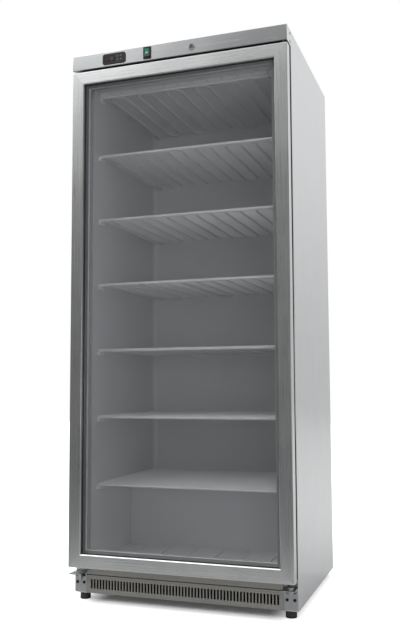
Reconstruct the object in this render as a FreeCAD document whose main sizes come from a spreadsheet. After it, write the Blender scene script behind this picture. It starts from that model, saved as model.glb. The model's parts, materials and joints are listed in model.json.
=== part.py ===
import FreeCAD, Part
import math
import os
import re
import Sketcher

# An upright freezer with one glass door and fixed evaporator shelves.
# X runs to the right, Y to the back and Z up, with the origin on the floor under the middle.
# Sizes are millimetres, degrees where the name says degrees, and counts where it says count.
SIZES = {
    # whole cabinet
    "cabinet_width": 777,
    "overall_depth": 695,
    "overall_height": 1895,
    "controls_proud": 4,
    "base_clearance": 22.5,
    "steel_thickness": 1,
    "front_flange": 42,
    "rear_flange": 15,
    "bend_radius": 2.5,
    "top_lip": 20,
    # insulated box
    "side_wall": 56.5,
    "rear_wall": 72,
    "top_wall": 105,
    "floor_height": 130,
    "deck_height": 87,
    "liner_thickness": 1,
    "liner_radius": 20,
    "sill_height": 156,
    "sill_depth": 26,
    "hump_depth": 227,
    "hump_height": 242,
    "hump_wall": 45,
    "floor_rib_count": 6,
    "floor_rib_pitch": 100,
    "floor_rib_width": 12,
    "floor_rib_height": 3,
    "floor_rib_margin": 40,
    # bottom chassis
    "pan_thickness": 2,
    "pan_return": 30,
    "base_proud": 8,
    "rail_height": 24,
    "rail_thickness": 1.5,
    "grille_thickness": 1.2,
    "grille_bottom": 25,
    "grille_slot_count": 60,
    "grille_slot_margin": 18.5,
    "grille_slot_width": 6.2,
    "grille_slot_bottom": 40.5,
    "grille_slot_height": 31,
    "grille_gap": 0.5,
    "grille_seam": 2.5,
    "foot_radius": 18,
    "foot_inset": 28,
    "foot_setback": 76,
    "rear_foot_inset": 40,
    "rear_foot_setback": 40,
    "foot_stud_radius": 5,
    "foot_stud_length": 30,
    "seat_gap": 0.3,
    "turning_gap": 0.1,
    # door
    "door_bottom": 117,
    "door_top_gap": 7.5,
    "door_depth": 34,
    "seal_depth": 24,
    "frame_face": 45,
    "frame_lip": 13,
    "frame_leg": 30,
    "frame_wall": 2,
    "frame_bevel": 3,
    "frame_radius": 2,
    "grip_width": 14,
    "grip_depth": 14,
    "grip_margin": 4,
    "mitre_overrun": 10,
    "pane_inset": 34,
    "pane_thickness": 4,
    "pane_tape": 1,
    "pane_tape_reveal": 2,
    "spacer_inset": 37,
    "spacer_width": 20,
    "inner_frame_inset": 17.5,
    "inner_frame_width": 41,
    "inner_frame_depth": 4,
    "seal_inset": 18,
    "seal_width": 18,
    "seal_neck_width": 6,
    "seal_magnet_depth": 7,
    "seal_base_depth": 4,
    # hinges
    "pin_inset": 16.5,
    "pin_setback": 20,
    "pin_radius": 6,
    "pin_collar_radius": 8,
    "pin_collar_height": 9,
    "pin_reach": 18,
    "pin_gap": 0.05,
    "pin_nut_height": 10,
    "pin_chamfer": 1,
    "bush_radius": 9,
    "bush_block_height": 20,
    "bush_gap": 0.15,
    "bracket_width": 44,
    "bracket_inset": 1,
    "bracket_bottom": 27,
    "bracket_top": 96,
    "bracket_thickness": 4,
    "bracket_web": 3,
    "ear_front": 7,
    "gusset_width": 16,
    "gusset_height": 34,
    "gusset_reach": 14,
    "gusset_tip": 1,
    "bracket_screw_radius": 2.5,
    "bracket_screw_head_radius": 5,
    "bracket_screw_head_height": 2.6,
    "bracket_screw_spacing": 24.5,
    "bracket_screw_pitch": 24,
    "bracket_screw_top": 13,
    # control panel
    "panel_height": 53.5,
    "panel_screw_pitch": 28,
    "panel_screw_setback": 11,
    "panel_screw_radius": 2,
    "panel_screw_head_radius": 3.6,
    "panel_screw_head_height": 1.5,
    "panel_screw_length": 8,
    "controller_x": -227,
    "controller_drop": 28,
    "controller_width": 88,
    "controller_height": 38,
    "controller_proud": 2.6,
    "controller_body_width": 71,
    "controller_body_height": 29,
    "controller_body_depth": 46,
    "controller_corner": 9,
    "display_offset": -17,
    "display_width": 44,
    "display_height": 24,
    "display_depth": 1.5,
    "display_recess": 0.3,
    "button_offset": 14,
    "button_width": 9,
    "button_height": 8,
    "button_pitch_x": 13,
    "button_pitch_z": 12,
    "button_depth": 2,
    "button_proud": 0.8,
    "button_travel": 0.8,
    "button_gap": 0.15,
    "switch_x": -101.5,
    "switch_drop": 26.5,
    "switch_width": 29,
    "switch_height": 43,
    "switch_proud": 1.8,
    "switch_body_width": 25,
    "switch_body_height": 37,
    "switch_body_depth": 26,
    "rocker_width": 19,
    "rocker_height": 31,
    "rocker_depth": 9,
    "rocker_tilt_degrees": 7,
    "rocker_gap": 0.6,
    "rocker_axle_radius": 1.5,
    "rocker_axle_reach": 1.5,
    "rocker_room": 3,
    "lock_x": 60,
    "lock_drop": 28.5,
    "lock_ring_radius": 12,
    "lock_ring_proud": 2.5,
    "lock_sleeve_radius": 9.5,
    "lock_sleeve_length": 14,
    "lock_barrel_radius": 7,
    "lock_barrel_proud": 3.2,
    "lock_nut_radius": 13,
    "lock_nut_depth": 4,
    "cam_length": 44,
    "cam_width": 12,
    "cam_thickness": 2,
    "cam_slot_gap": 2,
    "key_slot_width": 1.6,
    "key_slot_height": 8,
    "key_slot_depth": 3,
    # evaporator shelves
    "shelf_count": 6,
    "shelf_lowest": 383,
    "shelf_pitch": 234,
    "shelf_front": 100,
    "shelf_side_gap": 2,
    "shelf_rear_gap": 22,
    "tube_radius": 4,
    "tube_side_room": 35,
    "tube_run_count": 12,
    "wire_radius": 1.1,
    "wire_count": 56,
    "wire_gap": 0.1,
    "wire_bar_gap": 1,
    "shelf_bar_radius": 5,
    "clip_width": 10,
    "clip_length": 26,
    "clip_height": 16,
    "clip_wall": 3,
    "ceiling_coil_drop": 17,
    "ceiling_strip_thickness": 2,
    "ceiling_strip_hole_radius": 3,
    "chase_width": 30,
    "riser_radius": 5,
    "riser_setback": 26,
    "tube_hole_gap": 0.5,
    # machine compartment
    "compressor_side": 198.5,
    "compressor_setback": 122,
    "compressor_radius": 84,
    "compressor_height": 176,
    "compressor_base_radius": 52,
    "compressor_shoulder_radius": 76,
    "compressor_foot_height": 18,
    "compressor_wall_bottom": 42,
    "compressor_seam_height": 102,
    "compressor_seam_width": 6,
    "compressor_seam_proud": 3,
    "compressor_shoulder_drop": 28,
    "compressor_crown_drop": 7,
    "compressor_plate_width": 214,
    "compressor_plate_depth": 168,
    "compressor_plate_thickness": 3,
    "mount_radius": 14,
    "mount_height": 18,
    "mount_inset": 20,
    "mount_bolt_radius": 4,
    "terminal_width": 62,
    "terminal_height": 53,
    "terminal_depth": 34,
    "terminal_rise": 46,
    "condenser_side": 188.5,
    "condenser_gap": 15,
    "condenser_width": 252,
    "condenser_height": 236,
    "condenser_depth": 54,
    "fin_thickness": 0.6,
    "fin_pitch": 7,
    "fin_gap": 0.1,
    "condenser_row_count": 8,
    "condenser_tube_radius": 4.5,
    "condenser_plate_thickness": 1.5,
    "shroud_gap": 0.3,
    "shroud_depth": 30,
    "shroud_wall": 1.5,
    "shroud_hole_radius": 92,
    "fan_radius": 86,
    "fan_hub_radius": 18,
    "fan_hub_depth": 18,
    "fan_blade_count": 5,
    "fan_blade_degrees": 28,
    "fan_blade_chord": 52,
    "fan_blade_thickness": 1.6,
    "fan_blade_lead": 5,
    "fan_shaft_radius": 3,
    "fan_shaft_room": 2,
    "motor_radius": 38,
    "motor_depth": 52,
    "motor_arm_width": 14,
    "drier_radius": 12,
    "drier_length": 96,
    "pipe_radius": 4,
    "pipe_bend": 16,
    "pipe_drop_gap": 60,
    "pipe_step": 40,
    "riser_lead": 20,
    "port_height": 70,
    "drier_gap": 18,
    "drier_rise": 22,
    "capillary_radius": 1.5,
    "cover_recess": 16,
    "cover_slot_count": 14,
    "cover_slot_pitch": 16,
    "cover_slot_bottom": 50,
    "cover_slot_height": 5,
    "cover_slot_width": 260,
    "cover_screw_inset": 8,
    "gland_side": 88.5,
    "gland_z": 62,
    "gland_radius": 9,
    "gland_bore_radius": 4.5,
    "gland_nut_radius": 13,
    "gland_nut_depth": 5,
    "gland_length": 26,
}

doc = FreeCAD.newDocument("UprightFreezer")
NODES = []


def make_sheet():
    """Put every driving size into the sheet under its own name."""
    sheet = doc.addObject("Spreadsheet::Sheet", "Sizes")
    for row, (name, value) in enumerate(SIZES.items(), start=1):
        sheet.set(f"A{row}", name)
        sheet.set(f"B{row}", str(value))
        sheet.setAlias(f"B{row}", name)
    doc.recompute()
    return sheet


SHEET = make_sheet()


def size(name):
    """One driving size, read from the sheet."""
    return float(SHEET.get(name))


def count(name):
    return int(SHEET.get(name))


def sized(formula):
    """A formula in plain size names, spelled with the sheet's cells."""
    def cell(word):
        name = word.group()
        return f"Sizes.{name}" if name in SIZES else name
    return re.sub(r"[a-z][a-z_]*", cell, str(formula))


# Places that many pieces share, as formulas in the sheet's names.
HALF = "(cabinet_width / 2)"
FACE = "(controls_proud - overall_depth / 2)"
CARCASS = f"({FACE} + door_depth + seal_depth)"
REAR = "(overall_depth / 2)"
TOP = "overall_height"
SHELL_HALF = f"({HALF} - steel_thickness)"
FOAM_FRONT = f"({CARCASS} + steel_thickness)"
FOAM_REAR = f"({REAR} - steel_thickness)"
LINER_HALF = f"({HALF} - side_wall)"
LINER_REAR = f"({REAR} - rear_wall)"
CEILING = f"({TOP} - top_wall)"
HUMP_FRONT = f"({LINER_REAR} - hump_depth)"
HUMP_TOP = "(floor_height + hump_height)"
MACHINE_FRONT = f"({HUMP_FRONT} + hump_wall)"
MACHINE_TOP = f"({HUMP_TOP} - hump_wall)"
PAN_TOP = "(base_clearance + pan_thickness)"
PANEL_BOTTOM = f"({TOP} - panel_height)"
DOOR_TOP = f"({PANEL_BOTTOM} - door_top_gap)"
PIN_X = f"({HALF} - pin_inset)"
PIN_Y = f"({FACE} + pin_setback)"
BASE_FRONT = f"({CARCASS} - base_proud)"
BRACKET_IN = f"({HALF} - bracket_inset - bracket_width)"
BRACKET_OUT = f"({HALF} - bracket_inset)"
SHELF_FRONT = f"({FACE} + shelf_front)"
SHELF_REAR = f"({LINER_REAR} - shelf_rear_gap)"
RISER_Y = f"({LINER_REAR} + riser_setback)"
OUTER_RUN = f"({LINER_HALF} - tube_side_room)"
CONDENSER_X = f"(condenser_side - {HALF})"
CONDENSER_FRONT = f"({MACHINE_FRONT} + condenser_gap)"
SHROUD_FRONT = f"({CONDENSER_FRONT} + condenser_depth + shroud_gap)"
SHROUD_REAR = f"({SHROUD_FRONT} + shroud_depth)"
FAN_Z = f"({PAN_TOP} + condenser_height / 2)"
COMPRESSOR_X = f"({HALF} - compressor_side)"
COMPRESSOR_Y = f"({REAR} - compressor_setback)"
POT_WALL = "(compressor_radius - compressor_seam_proud)"
COVER_REAR = f"({REAR} - cover_recess)"
PANEL_SCREW_Y = f"({CARCASS} - panel_screw_setback)"
CONTROLLER_Z = f"({TOP} - controller_drop)"
SWITCH_Z = f"({TOP} - switch_drop)"
LOCK_Z = f"({TOP} - lock_drop)"
GLAND_X = f"(gland_side - {HALF})"

# How near a point must lie to count as on a face, and how far an edge may lean off an axis.
NEAR = 0.01
LEAN_DEGREES = 25
STRAIGHT = math.cos(math.radians(LEAN_DEGREES))


def node(thing, label):
    """Name a finished piece, which is also the name of its file."""
    thing.Label = label
    NODES.append(thing)
    return thing


def bind(thing, **formulas):
    """Tie properties of one object to formulas."""
    for name, formula in formulas.items():
        thing.setExpression(name, sized(formula))
    return thing


def move(thing, x="0", y="0", z="0"):
    """Tie the place of one object to formulas."""
    for axis, formula in zip("xyz", (x, y, z)):
        thing.setExpression(f"Placement.Base.{axis}", sized(formula))
    return thing


def block(name, x, y, z):
    """A box between a low and a high formula along each axis."""
    box = doc.addObject("Part::Box", name)
    for side, axis, (low, high) in zip(("Length", "Width", "Height"), "xyz", (x, y, z)):
        box.setExpression(side, sized(f"({high}) - ({low})"))
        box.setExpression(f"Placement.Base.{axis}", sized(low))
    return box


def wide(half):
    """A pair of formulas as far left as right."""
    return (f"-({half})", f"({half})")


def about(centre, length):
    """A pair of formulas around a centre."""
    return (f"({centre}) - ({length}) / 2", f"({centre}) + ({length}) / 2")


def turned(along):
    """The rotation that lays a piece's own Z along an axis."""
    turns = {
        "x": FreeCAD.Rotation(FreeCAD.Vector(0, 1, 0), 90),
        "y": FreeCAD.Rotation(FreeCAD.Vector(1, 0, 0), -90),
        "z": FreeCAD.Rotation(),
    }
    return FreeCAD.Placement(FreeCAD.Vector(), turns[along])


def rod(name, radius, along, span, **centre):
    """A cylinder along one axis between two formulas, with its centre line on the other two."""
    bar = doc.addObject("Part::Cylinder", name)
    bar.Placement = turned(along)
    low, high = span
    bind(bar, Radius=radius, Height=f"({high}) - ({low})")
    for axis, formula in {**centre, along: low}.items():
        bar.setExpression(f"Placement.Base.{axis}", sized(formula))
    return bar


def fuse(name, *pieces):
    whole = doc.addObject("Part::MultiFuse", name)
    whole.Shapes = list(pieces)
    whole.Refine = True
    return whole


def group(name, *pieces):
    """Separate solids kept side by side in one piece."""
    whole = doc.addObject("Part::Compound", name)
    whole.Links = list(pieces)
    return whole


def cut(name, base, *tools):
    rest = doc.addObject("Part::Cut", name)
    rest.Base = base
    rest.Tool = tools[0] if len(tools) == 1 else group(f"{name}_tools", *tools)
    return rest


def sketch_on(body, role, name):
    """An empty sketch on one of the body's own origin planes."""
    sketch = body.newObject("Sketcher::SketchObject", name)
    plane = next(part for part in body.Origin.OriginFeatures if part.Role == role)
    sketch.AttachmentSupport = (plane, [""])
    sketch.MapMode = "FlatFace"
    return sketch


def pin_point(sketch, line, corner, start, formulas):
    """Hold one sketch point at two formulas measured from the sketch's origin."""
    for kind, place, formula in zip(("DistanceX", "DistanceY"), start, formulas):
        rule = sketch.addConstraint(Sketcher.Constraint(kind, -1, 1, line, corner, place))
        sketch.setExpression(f"Constraints[{rule}]", sized(formula))


def loop(sketch, corners):
    """A closed outline through corners that are pairs of formulas."""
    total = len(corners)
    first = sketch.GeometryCount
    turn = 2 * math.pi / total
    ring = [FreeCAD.Vector(math.cos(turn * i), math.sin(turn * i), 0) for i in range(total)]
    for i in range(total):
        sketch.addGeometry(Part.LineSegment(ring[i], ring[(i + 1) % total]))
    for i, corner in enumerate(corners):
        following = first + (i + 1) % total
        sketch.addConstraint(Sketcher.Constraint("Coincident", first + i, 2, following, 1))
        pin_point(sketch, first + i, 1, (ring[i].x, ring[i].y), corner)


def rectangle(sketch, across, up):
    """A closed outline between low and high formulas both ways."""
    (left, right), (low, high) = across, up
    loop(sketch, [(left, low), (right, low), (right, high), (left, high)])


def pad(body, sketch, length, symmetric=False, reverse=False):
    solid = body.newObject("PartDesign::Pad", f"{sketch.Name}_pad")
    solid.Profile = sketch
    solid.SideType = "Symmetric" if symmetric else "One side"
    solid.Reversed = reverse
    bind(solid, Length=length)
    body.Tip = solid
    return solid


def pocket(body, sketch, length=None, reverse=False):
    """A pocket of a given depth, or right through on both sides of the sketch."""
    hollow = body.newObject("PartDesign::Pocket", f"{sketch.Name}_pocket")
    hollow.Profile = sketch
    hollow.Reversed = reverse
    if length is None:
        hollow.Type = "ThroughAll"
        hollow.SideType = "Symmetric"
    else:
        bind(hollow, Length=length)
    body.Tip = hollow
    return hollow


def repeat(body, feature, sketch, length, copies):
    """Copies of a feature in a row of a given length along its sketch's own first axis."""
    row = body.newObject("PartDesign::LinearPattern", f"{feature.Name}_row")
    row.Originals = [feature]
    row.Direction = (sketch, ["H_Axis"])
    bind(row, Length=length, Occurrences=copies)
    body.Tip = row
    return row


def straight_edges(shape, wanted):
    """Names of the straight edges whose direction and middle pass a test."""
    names = []
    for index, edge in enumerate(shape.Edges, start=1):
        if edge.Curve.TypeId == "Part::GeomLine":
            along = edge.tangentAt(edge.FirstParameter)
            if wanted(along, edge.CenterOfMass):
                names.append(f"Edge{index}")
    return names


def round_edges(body, radius, wanted):
    """Round the chosen straight edges of a body."""
    doc.recompute()
    base = body.Tip
    soft = body.newObject("PartDesign::Fillet", f"{body.Name}_fillet")
    soft.Base = (base, straight_edges(base.Shape, wanted))
    bind(soft, Radius=radius)
    body.Tip = soft
    return soft


def shaped(name, shape):
    """A piece whose shape is worked out from the sheet's numbers."""
    piece = doc.addObject("Part::Feature", name)
    piece.Shape = shape
    return piece


def tube(points, radius, bend):
    """A round tube along straight runs joined by tangent arcs of one radius."""
    corners = [FreeCAD.Vector(*point) for point in points]
    edges = []
    start = corners[0]
    for before, corner, after in zip(corners, corners[1:], corners[2:]):
        back = (before - corner).normalize()
        ahead = (after - corner).normalize()
        turn = math.pi - back.getAngle(ahead)
        reach = bend * math.tan(turn / 2)
        middle = (back + ahead).normalize()
        hub = corner + middle * (bend / math.cos(turn / 2))
        arc_start = corner + back * reach
        arc_end = corner + ahead * reach
        arc_middle = hub - middle * bend
        edges.append(Part.LineSegment(start, arc_start).toShape())
        edges.append(Part.Arc(arc_start, arc_middle, arc_end).toShape())
        start = arc_end
    edges.append(Part.LineSegment(start, corners[-1]).toShape())
    path = Part.Wire(edges)
    along = (corners[1] - corners[0]).normalize()
    ring = Part.Wire([Part.makeCircle(radius, corners[0], along)])
    return path.makePipeShell([ring], True, False)


# ---- outer shell ----

def side_panel(side, label):
    """A folded steel side with a front and a rear flange turned inward."""
    sign = {"left": "-1", "right": "1"}[side]
    body = doc.addObject("PartDesign::Body", f"Side_{side}")
    sketch = sketch_on(body, "XY_Plane", f"Side_{side}_section")
    front_in = f"{sign} * ({HALF} - front_flange)"
    rear_in = f"{sign} * ({HALF} - rear_flange)"
    outer = f"{sign} * {HALF}"
    inner = f"{sign} * {SHELL_HALF}"
    loop(sketch, [
        (outer, CARCASS),
        (outer, REAR),
        (rear_in, REAR),
        (rear_in, FOAM_REAR),
        (inner, FOAM_REAR),
        (inner, FOAM_FRONT),
        (front_in, FOAM_FRONT),
        (front_in, CARCASS),
    ])
    pad(body, sketch, f"{TOP} - base_clearance")
    move(body, z="base_clearance")
    edge_x = (1 if side == "right" else -1) * size("cabinet_width") / 2
    round_edges(body, "bend_radius", lambda along, middle: (
        abs(along.z) > STRAIGHT and abs(middle.x - edge_x) < NEAR))
    drills = [rod(f"Side_{side}_bracket_drill_{index + 1}", "bracket_screw_radius", "y",
                  (FACE, f"{CARCASS} + rear_flange"), x=x, z=z)
              for index, (x, z) in enumerate(bracket_screw_places(sign))]
    return node(cut(f"Side_{side}_drilled", body, *drills), label)


def top_panel():
    """The flat lid between the sides, turned down at the rear."""
    sheet = block("Lid", wide(SHELL_HALF), (FOAM_FRONT, FOAM_REAR), (f"{TOP} - steel_thickness", TOP))
    lip = block("Lid_lip", wide(f"{HALF} - rear_flange"), (FOAM_REAR, REAR), (f"{TOP} - top_lip", TOP))
    return node(fuse("Lid_folded", sheet, lip), "top_panel")


def back_panel():
    """The flat rear sheet over the insulation."""
    body = doc.addObject("PartDesign::Body", "Back")
    sketch = sketch_on(body, "XZ_Plane", "Back_outline")
    rectangle(sketch, wide(f"{HALF} - rear_flange"), (MACHINE_TOP, f"{TOP} - top_lip"))
    pad(body, sketch, "steel_thickness", reverse=True)
    move(body, y=FOAM_REAR)
    return node(body, "back_panel")


def cavity(name, growth, front):
    """The stepped inside of the cabinet, grown on all sides by one thickness."""
    body = doc.addObject("PartDesign::Body", name)
    sketch = sketch_on(body, "YZ_Plane", f"{name}_profile")
    low = f"floor_height - {growth}"
    rise = f"{HUMP_FRONT} + {growth}"
    step = f"{HUMP_TOP} - {growth}"
    back = f"{LINER_REAR} + {growth}"
    high = f"{CEILING} + {growth}"
    loop(sketch, [
        (front, f"sill_height - {growth}"),
        (FOAM_FRONT, f"sill_height - {growth}"),
        (f"{CARCASS} + sill_depth", low),
        (rise, low),
        (rise, step),
        (back, step),
        (back, high),
        (front, high),
    ])
    pad(body, sketch, f"2 * ({LINER_HALF} + {growth})", symmetric=True)
    return body


def cavity_corners(body):
    """Cove the long upright and level corners at the rear of the cavity."""
    rear = size("overall_depth") / 2 - size("rear_wall") - size("liner_thickness")
    round_edges(body, "liner_radius", lambda along, middle: abs(along.z) > STRAIGHT and middle.y > rear)
    return body


def inner_liner():
    """The thin white inside with its sill, machine hump, floor ribs and front flange."""
    outer = cavity_corners(cavity("Liner_outside", "liner_thickness", CARCASS))
    inner = cavity_corners(cavity("Liner_inside", "0", f"{CARCASS} - sill_depth"))
    flange = block("Liner_flange", wide(f"{HALF} - front_flange"), (CARCASS, FOAM_FRONT),
                   ("deck_height", f"{TOP} - steel_thickness"))
    ribs = []
    for index in range(count("floor_rib_count")):
        middle = f"floor_rib_pitch * ({index} - (floor_rib_count - 1) / 2)"
        ribs.append(block(
            f"Floor_rib_{index + 1}", about(middle, "floor_rib_width"),
            (f"{CARCASS} + sill_depth + floor_rib_margin", f"{HUMP_FRONT} - floor_rib_margin"),
            ("floor_height - liner_thickness", "floor_height + floor_rib_height")))
    shell = cut("Liner_shell", fuse("Liner_solid", outer, flange), inner, *tube_holes("Liner_hole"))
    return node(fuse("Liner_ribbed", shell, *ribs), "inner_liner"), outer


def shelf_heights():
    """Formulas for the middle of each evaporator's tubes, from the lowest up to the ceiling's."""
    heights = [f"(shelf_lowest + {i} * shelf_pitch)" for i in range(count("shelf_count"))]
    return heights + [f"({CEILING} - ceiling_coil_drop)"]


def tube_holes(name):
    """Holes through the rear wall for both ends of each evaporator's tube."""
    holes = []
    for level, height in enumerate(shelf_heights(), start=1):
        for side, sign in (("left", "-1"), ("right", "1")):
            holes.append(rod(
                f"{name}_{side}_{level}", "tube_radius + tube_hole_gap", "y",
                (f"{LINER_REAR} - liner_radius", RISER_Y), x=f"{sign} * {OUTER_RUN}", z=height))
    return holes


def cabinet_foam(liner_outside):
    """The rigid foam between the liner and the shell."""
    whole = block("Foam_block", wide(SHELL_HALF), (FOAM_FRONT, FOAM_REAR),
                  ("deck_height", f"{TOP} - steel_thickness"))
    machine = block("Foam_machine_space", wide(HALF), (MACHINE_FRONT, REAR), ("0", MACHINE_TOP))
    chases = []
    for side, sign in (("left", "-1"), ("right", "1")):
        chases.append(block(
            f"Foam_chase_{side}", about(f"{sign} * {OUTER_RUN}", "chase_width"),
            (f"{LINER_REAR} + liner_thickness", FOAM_REAR),
            (MACHINE_TOP, f"{CEILING} - ceiling_coil_drop + chase_width")))
    return node(cut("Foam_cut", whole, liner_outside, machine, *chases), "cabinet_foam")


# ---- bottom chassis ----

def base_pan():
    """The folded bottom tray, whose side returns carry the insulated box."""
    body = doc.addObject("PartDesign::Body", "Pan")
    sketch = sketch_on(body, "XZ_Plane", "Pan_section")
    ledge = f"({SHELL_HALF} - pan_return)"
    web = f"({SHELL_HALF} - pan_thickness)"
    under = "deck_height - pan_thickness"
    loop(sketch, [
        (f"-{SHELL_HALF}", "base_clearance"),
        (SHELL_HALF, "base_clearance"),
        (SHELL_HALF, "deck_height"),
        (ledge, "deck_height"),
        (ledge, under),
        (web, under),
        (web, PAN_TOP),
        (f"-{web}", PAN_TOP),
        (f"-{web}", under),
        (f"-{ledge}", under),
        (f"-{ledge}", "deck_height"),
        (f"-{SHELL_HALF}", "deck_height"),
    ])
    pad(body, sketch, f"{COVER_REAR} - steel_thickness - {FOAM_FRONT}", reverse=True)
    move(body, y=FOAM_FRONT)
    drills = [rod(f"Pan_drill_{name}", "foot_stud_radius + turning_gap", "z",
                  ("0", "deck_height / 2"), x=x, y=y) for name, x, y in foot_places()]
    drills += [rod(f"Pan_mount_drill_{name}", "mount_bolt_radius", "z",
                   ("0", "deck_height / 2"), x=x, y=y) for name, x, y in mount_places()]
    return node(cut("Pan_drilled", body, *drills), "base_pan")


def foot_places():
    """Name, X and Y of each foot."""
    front = f"({FACE} + foot_setback)"
    rear = f"({REAR} - rear_foot_setback)"
    reach = f"({HALF} - foot_inset)"
    rear_reach = f"({HALF} - rear_foot_inset)"
    return [
        ("front_left", f"-{reach}", front),
        ("front_right", reach, front),
        ("rear_left", f"-{rear_reach}", rear),
        ("rear_right", rear_reach, rear),
    ]


def foot(name, x, y):
    """A round foot turned in one piece with its threaded stud."""
    pad_part = rod(f"Foot_{name}_pad", "foot_radius", "z", ("0", "base_clearance - seat_gap"), x=x, y=y)
    stud = rod(f"Foot_{name}_stud", "foot_stud_radius", "z",
               ("base_clearance - seat_gap", "base_clearance + foot_stud_length"), x=x, y=y)
    return fuse(f"Foot_{name}", pad_part, stud)


def feet():
    """Two levelling feet in front, each a piece of its own, and the fixed pair behind."""
    front_left, front_right, rear_left, rear_right = foot_places()
    for place in (front_left, front_right):
        node(foot(*place), f"levelling_foot_{place[0]}")
    node(group("Rear_feet", foot(*rear_left), foot(*rear_right)), "rear_feet")


def channel(name, half, low, high, thickness):
    """A shallow channel across the front, open to the rear."""
    body = doc.addObject("PartDesign::Body", name)
    sketch = sketch_on(body, "YZ_Plane", f"{name}_section")
    inside = f"{BASE_FRONT} + {thickness}"
    loop(sketch, [
        (BASE_FRONT, low),
        (CARCASS, low),
        (CARCASS, f"{low} + {thickness}"),
        (inside, f"{low} + {thickness}"),
        (inside, f"{high} - {thickness}"),
        (CARCASS, f"{high} - {thickness}"),
        (CARCASS, high),
        (BASE_FRONT, high),
    ])
    pad(body, sketch, f"2 * ({half})", symmetric=True)
    return body


def lower_front_rail():
    """The plain rail between the grille and the door."""
    rail = channel("Rail", f"{BRACKET_IN} - grille_gap", "deck_height",
                   "(deck_height + rail_height)", "rail_thickness")
    return node(rail, "lower_front_rail")


def front_grille():
    """The slotted air inlet under the door."""
    body = channel("Grille", f"{BRACKET_IN} - grille_gap", "grille_bottom",
                   "(deck_height - grille_seam)", "grille_thickness")
    sketch = sketch_on(body, "XZ_Plane", "Grille_slot")
    reach = f"({BRACKET_IN} - grille_gap - grille_slot_margin)"
    first = f"-{reach}"
    rectangle(sketch, about(first, "grille_slot_width"),
              ("grille_slot_bottom", "grille_slot_bottom + grille_slot_height"))
    slot = pocket(body, sketch)
    repeat(body, slot, sketch, f"2 * {reach}", "grille_slot_count")
    return node(body, "front_grille")


# ---- hinge hardware ----

def bracket_screw_places(sign):
    """X and Z of the four screws in one bracket."""
    middle = f"({BRACKET_IN} + bracket_width / 2)"
    top = "(bracket_top - bracket_screw_top)"
    places = []
    for side in ("-1", "1"):
        for row in (0, 1):
            places.append((f"{sign} * ({middle} + {side} * bracket_screw_spacing / 2)",
                           f"{top} - {row} * bracket_screw_pitch"))
    return places


def lower_bracket(side, label):
    """A steel bracket with a forward ear, two side webs and a pressed gusset under the ear."""
    sign = {"left": "-1", "right": "1"}[side]
    name = f"Bracket_{side}"

    def across(low, high):
        return (low, high) if side == "right" else (f"-({high})", f"-({low})")

    plate = block(f"{name}_plate", across(BRACKET_IN, BRACKET_OUT),
                  (BASE_FRONT, f"{BASE_FRONT} + bracket_thickness"), ("bracket_bottom", "bracket_top"))
    ear = block(f"{name}_ear", across(BRACKET_IN, BRACKET_OUT),
                (f"{FACE} + ear_front", f"{BASE_FRONT} + bracket_thickness"),
                ("bracket_top - bracket_thickness", "bracket_top"))
    webs = [
        block(f"{name}_inner_web", across(BRACKET_IN, f"{BRACKET_IN} + bracket_web"),
              (BASE_FRONT, CARCASS), ("bracket_bottom", "bracket_top")),
        block(f"{name}_outer_web", across(f"{BRACKET_OUT} - bracket_web", BRACKET_OUT),
              (BASE_FRONT, CARCASS), ("bracket_bottom", "bracket_top")),
    ]
    gusset = doc.addObject("Part::Wedge", f"{name}_gusset")
    under = "bracket_top - bracket_thickness"
    bind(gusset, Xmin="-gusset_width / 2", Xmax="gusset_width / 2", X2min="-gusset_tip / 2",
         X2max="gusset_tip / 2", Ymin="0", Ymax="gusset_height", Zmin="-gusset_reach", Zmax="0",
         Z2min="-gusset_tip / 2", Z2max="0")
    gusset.Placement = FreeCAD.Placement(
        FreeCAD.Vector(), FreeCAD.Rotation(FreeCAD.Vector(1, 0, 0), -90))
    move(gusset, x=f"{sign} * ({BRACKET_IN} + bracket_width / 2)", y=BASE_FRONT, z=under)
    holes = [rod(f"{name}_pin_hole", "pin_radius + pin_gap", "z", ("0", "bracket_top + bracket_thickness"),
                 x=f"{sign} * {PIN_X}", y=PIN_Y)]
    for index, (x, z) in enumerate(bracket_screw_places(sign)):
        holes.append(rod(f"{name}_screw_hole_{index + 1}", "bracket_screw_radius", "y",
                         (FACE, CARCASS), x=x, z=z))
    return node(cut(name, fuse(f"{name}_welded", plate, ear, *webs, gusset), *holes), label)


def screw(name, head_radius, head_height, radius, length, along, head, **place):
    """A pan-head screw, with its head before the seat and its shank behind it."""
    seat, forward = head
    head_end = f"({seat}) + {forward} * ({head_height})"
    shank_end = f"({seat}) - {forward} * ({length})"
    order = (head_end, seat) if forward < 0 else (seat, head_end)
    shank_order = (seat, shank_end) if forward < 0 else (shank_end, seat)
    return fuse(name, rod(f"{name}_head", head_radius, along, order, **place),
                rod(f"{name}_shank", radius, along, shank_order, **place))


def bracket_screws():
    """Eight screws, four in each lower bracket."""
    screws = []
    for side, sign in (("left", "-1"), ("right", "1")):
        for index, (x, z) in enumerate(bracket_screw_places(sign)):
            screws.append(screw(
                f"Bracket_screw_{side}_{index + 1}", "bracket_screw_head_radius",
                "bracket_screw_head_height", "bracket_screw_radius", "base_proud + steel_thickness",
                "y", (BASE_FRONT, -1), x=x, z=z))
    return node(group("Bracket_screws", *screws), "bracket_screws")


def revolved(name, label, steps, x, y):
    """A turned piece about an upright axis, from radius and height formulas."""
    body = doc.addObject("PartDesign::Body", name)
    sketch = sketch_on(body, "XZ_Plane", f"{name}_profile")
    loop(sketch, steps)
    turn = body.newObject("PartDesign::Revolution", f"{name}_turned")
    turn.Profile = sketch
    turn.ReferenceAxis = (sketch, ["V_Axis"])
    turn.Angle = 360
    body.Tip = turn
    move(body, x=x, y=y)
    return node(body, label)


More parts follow.
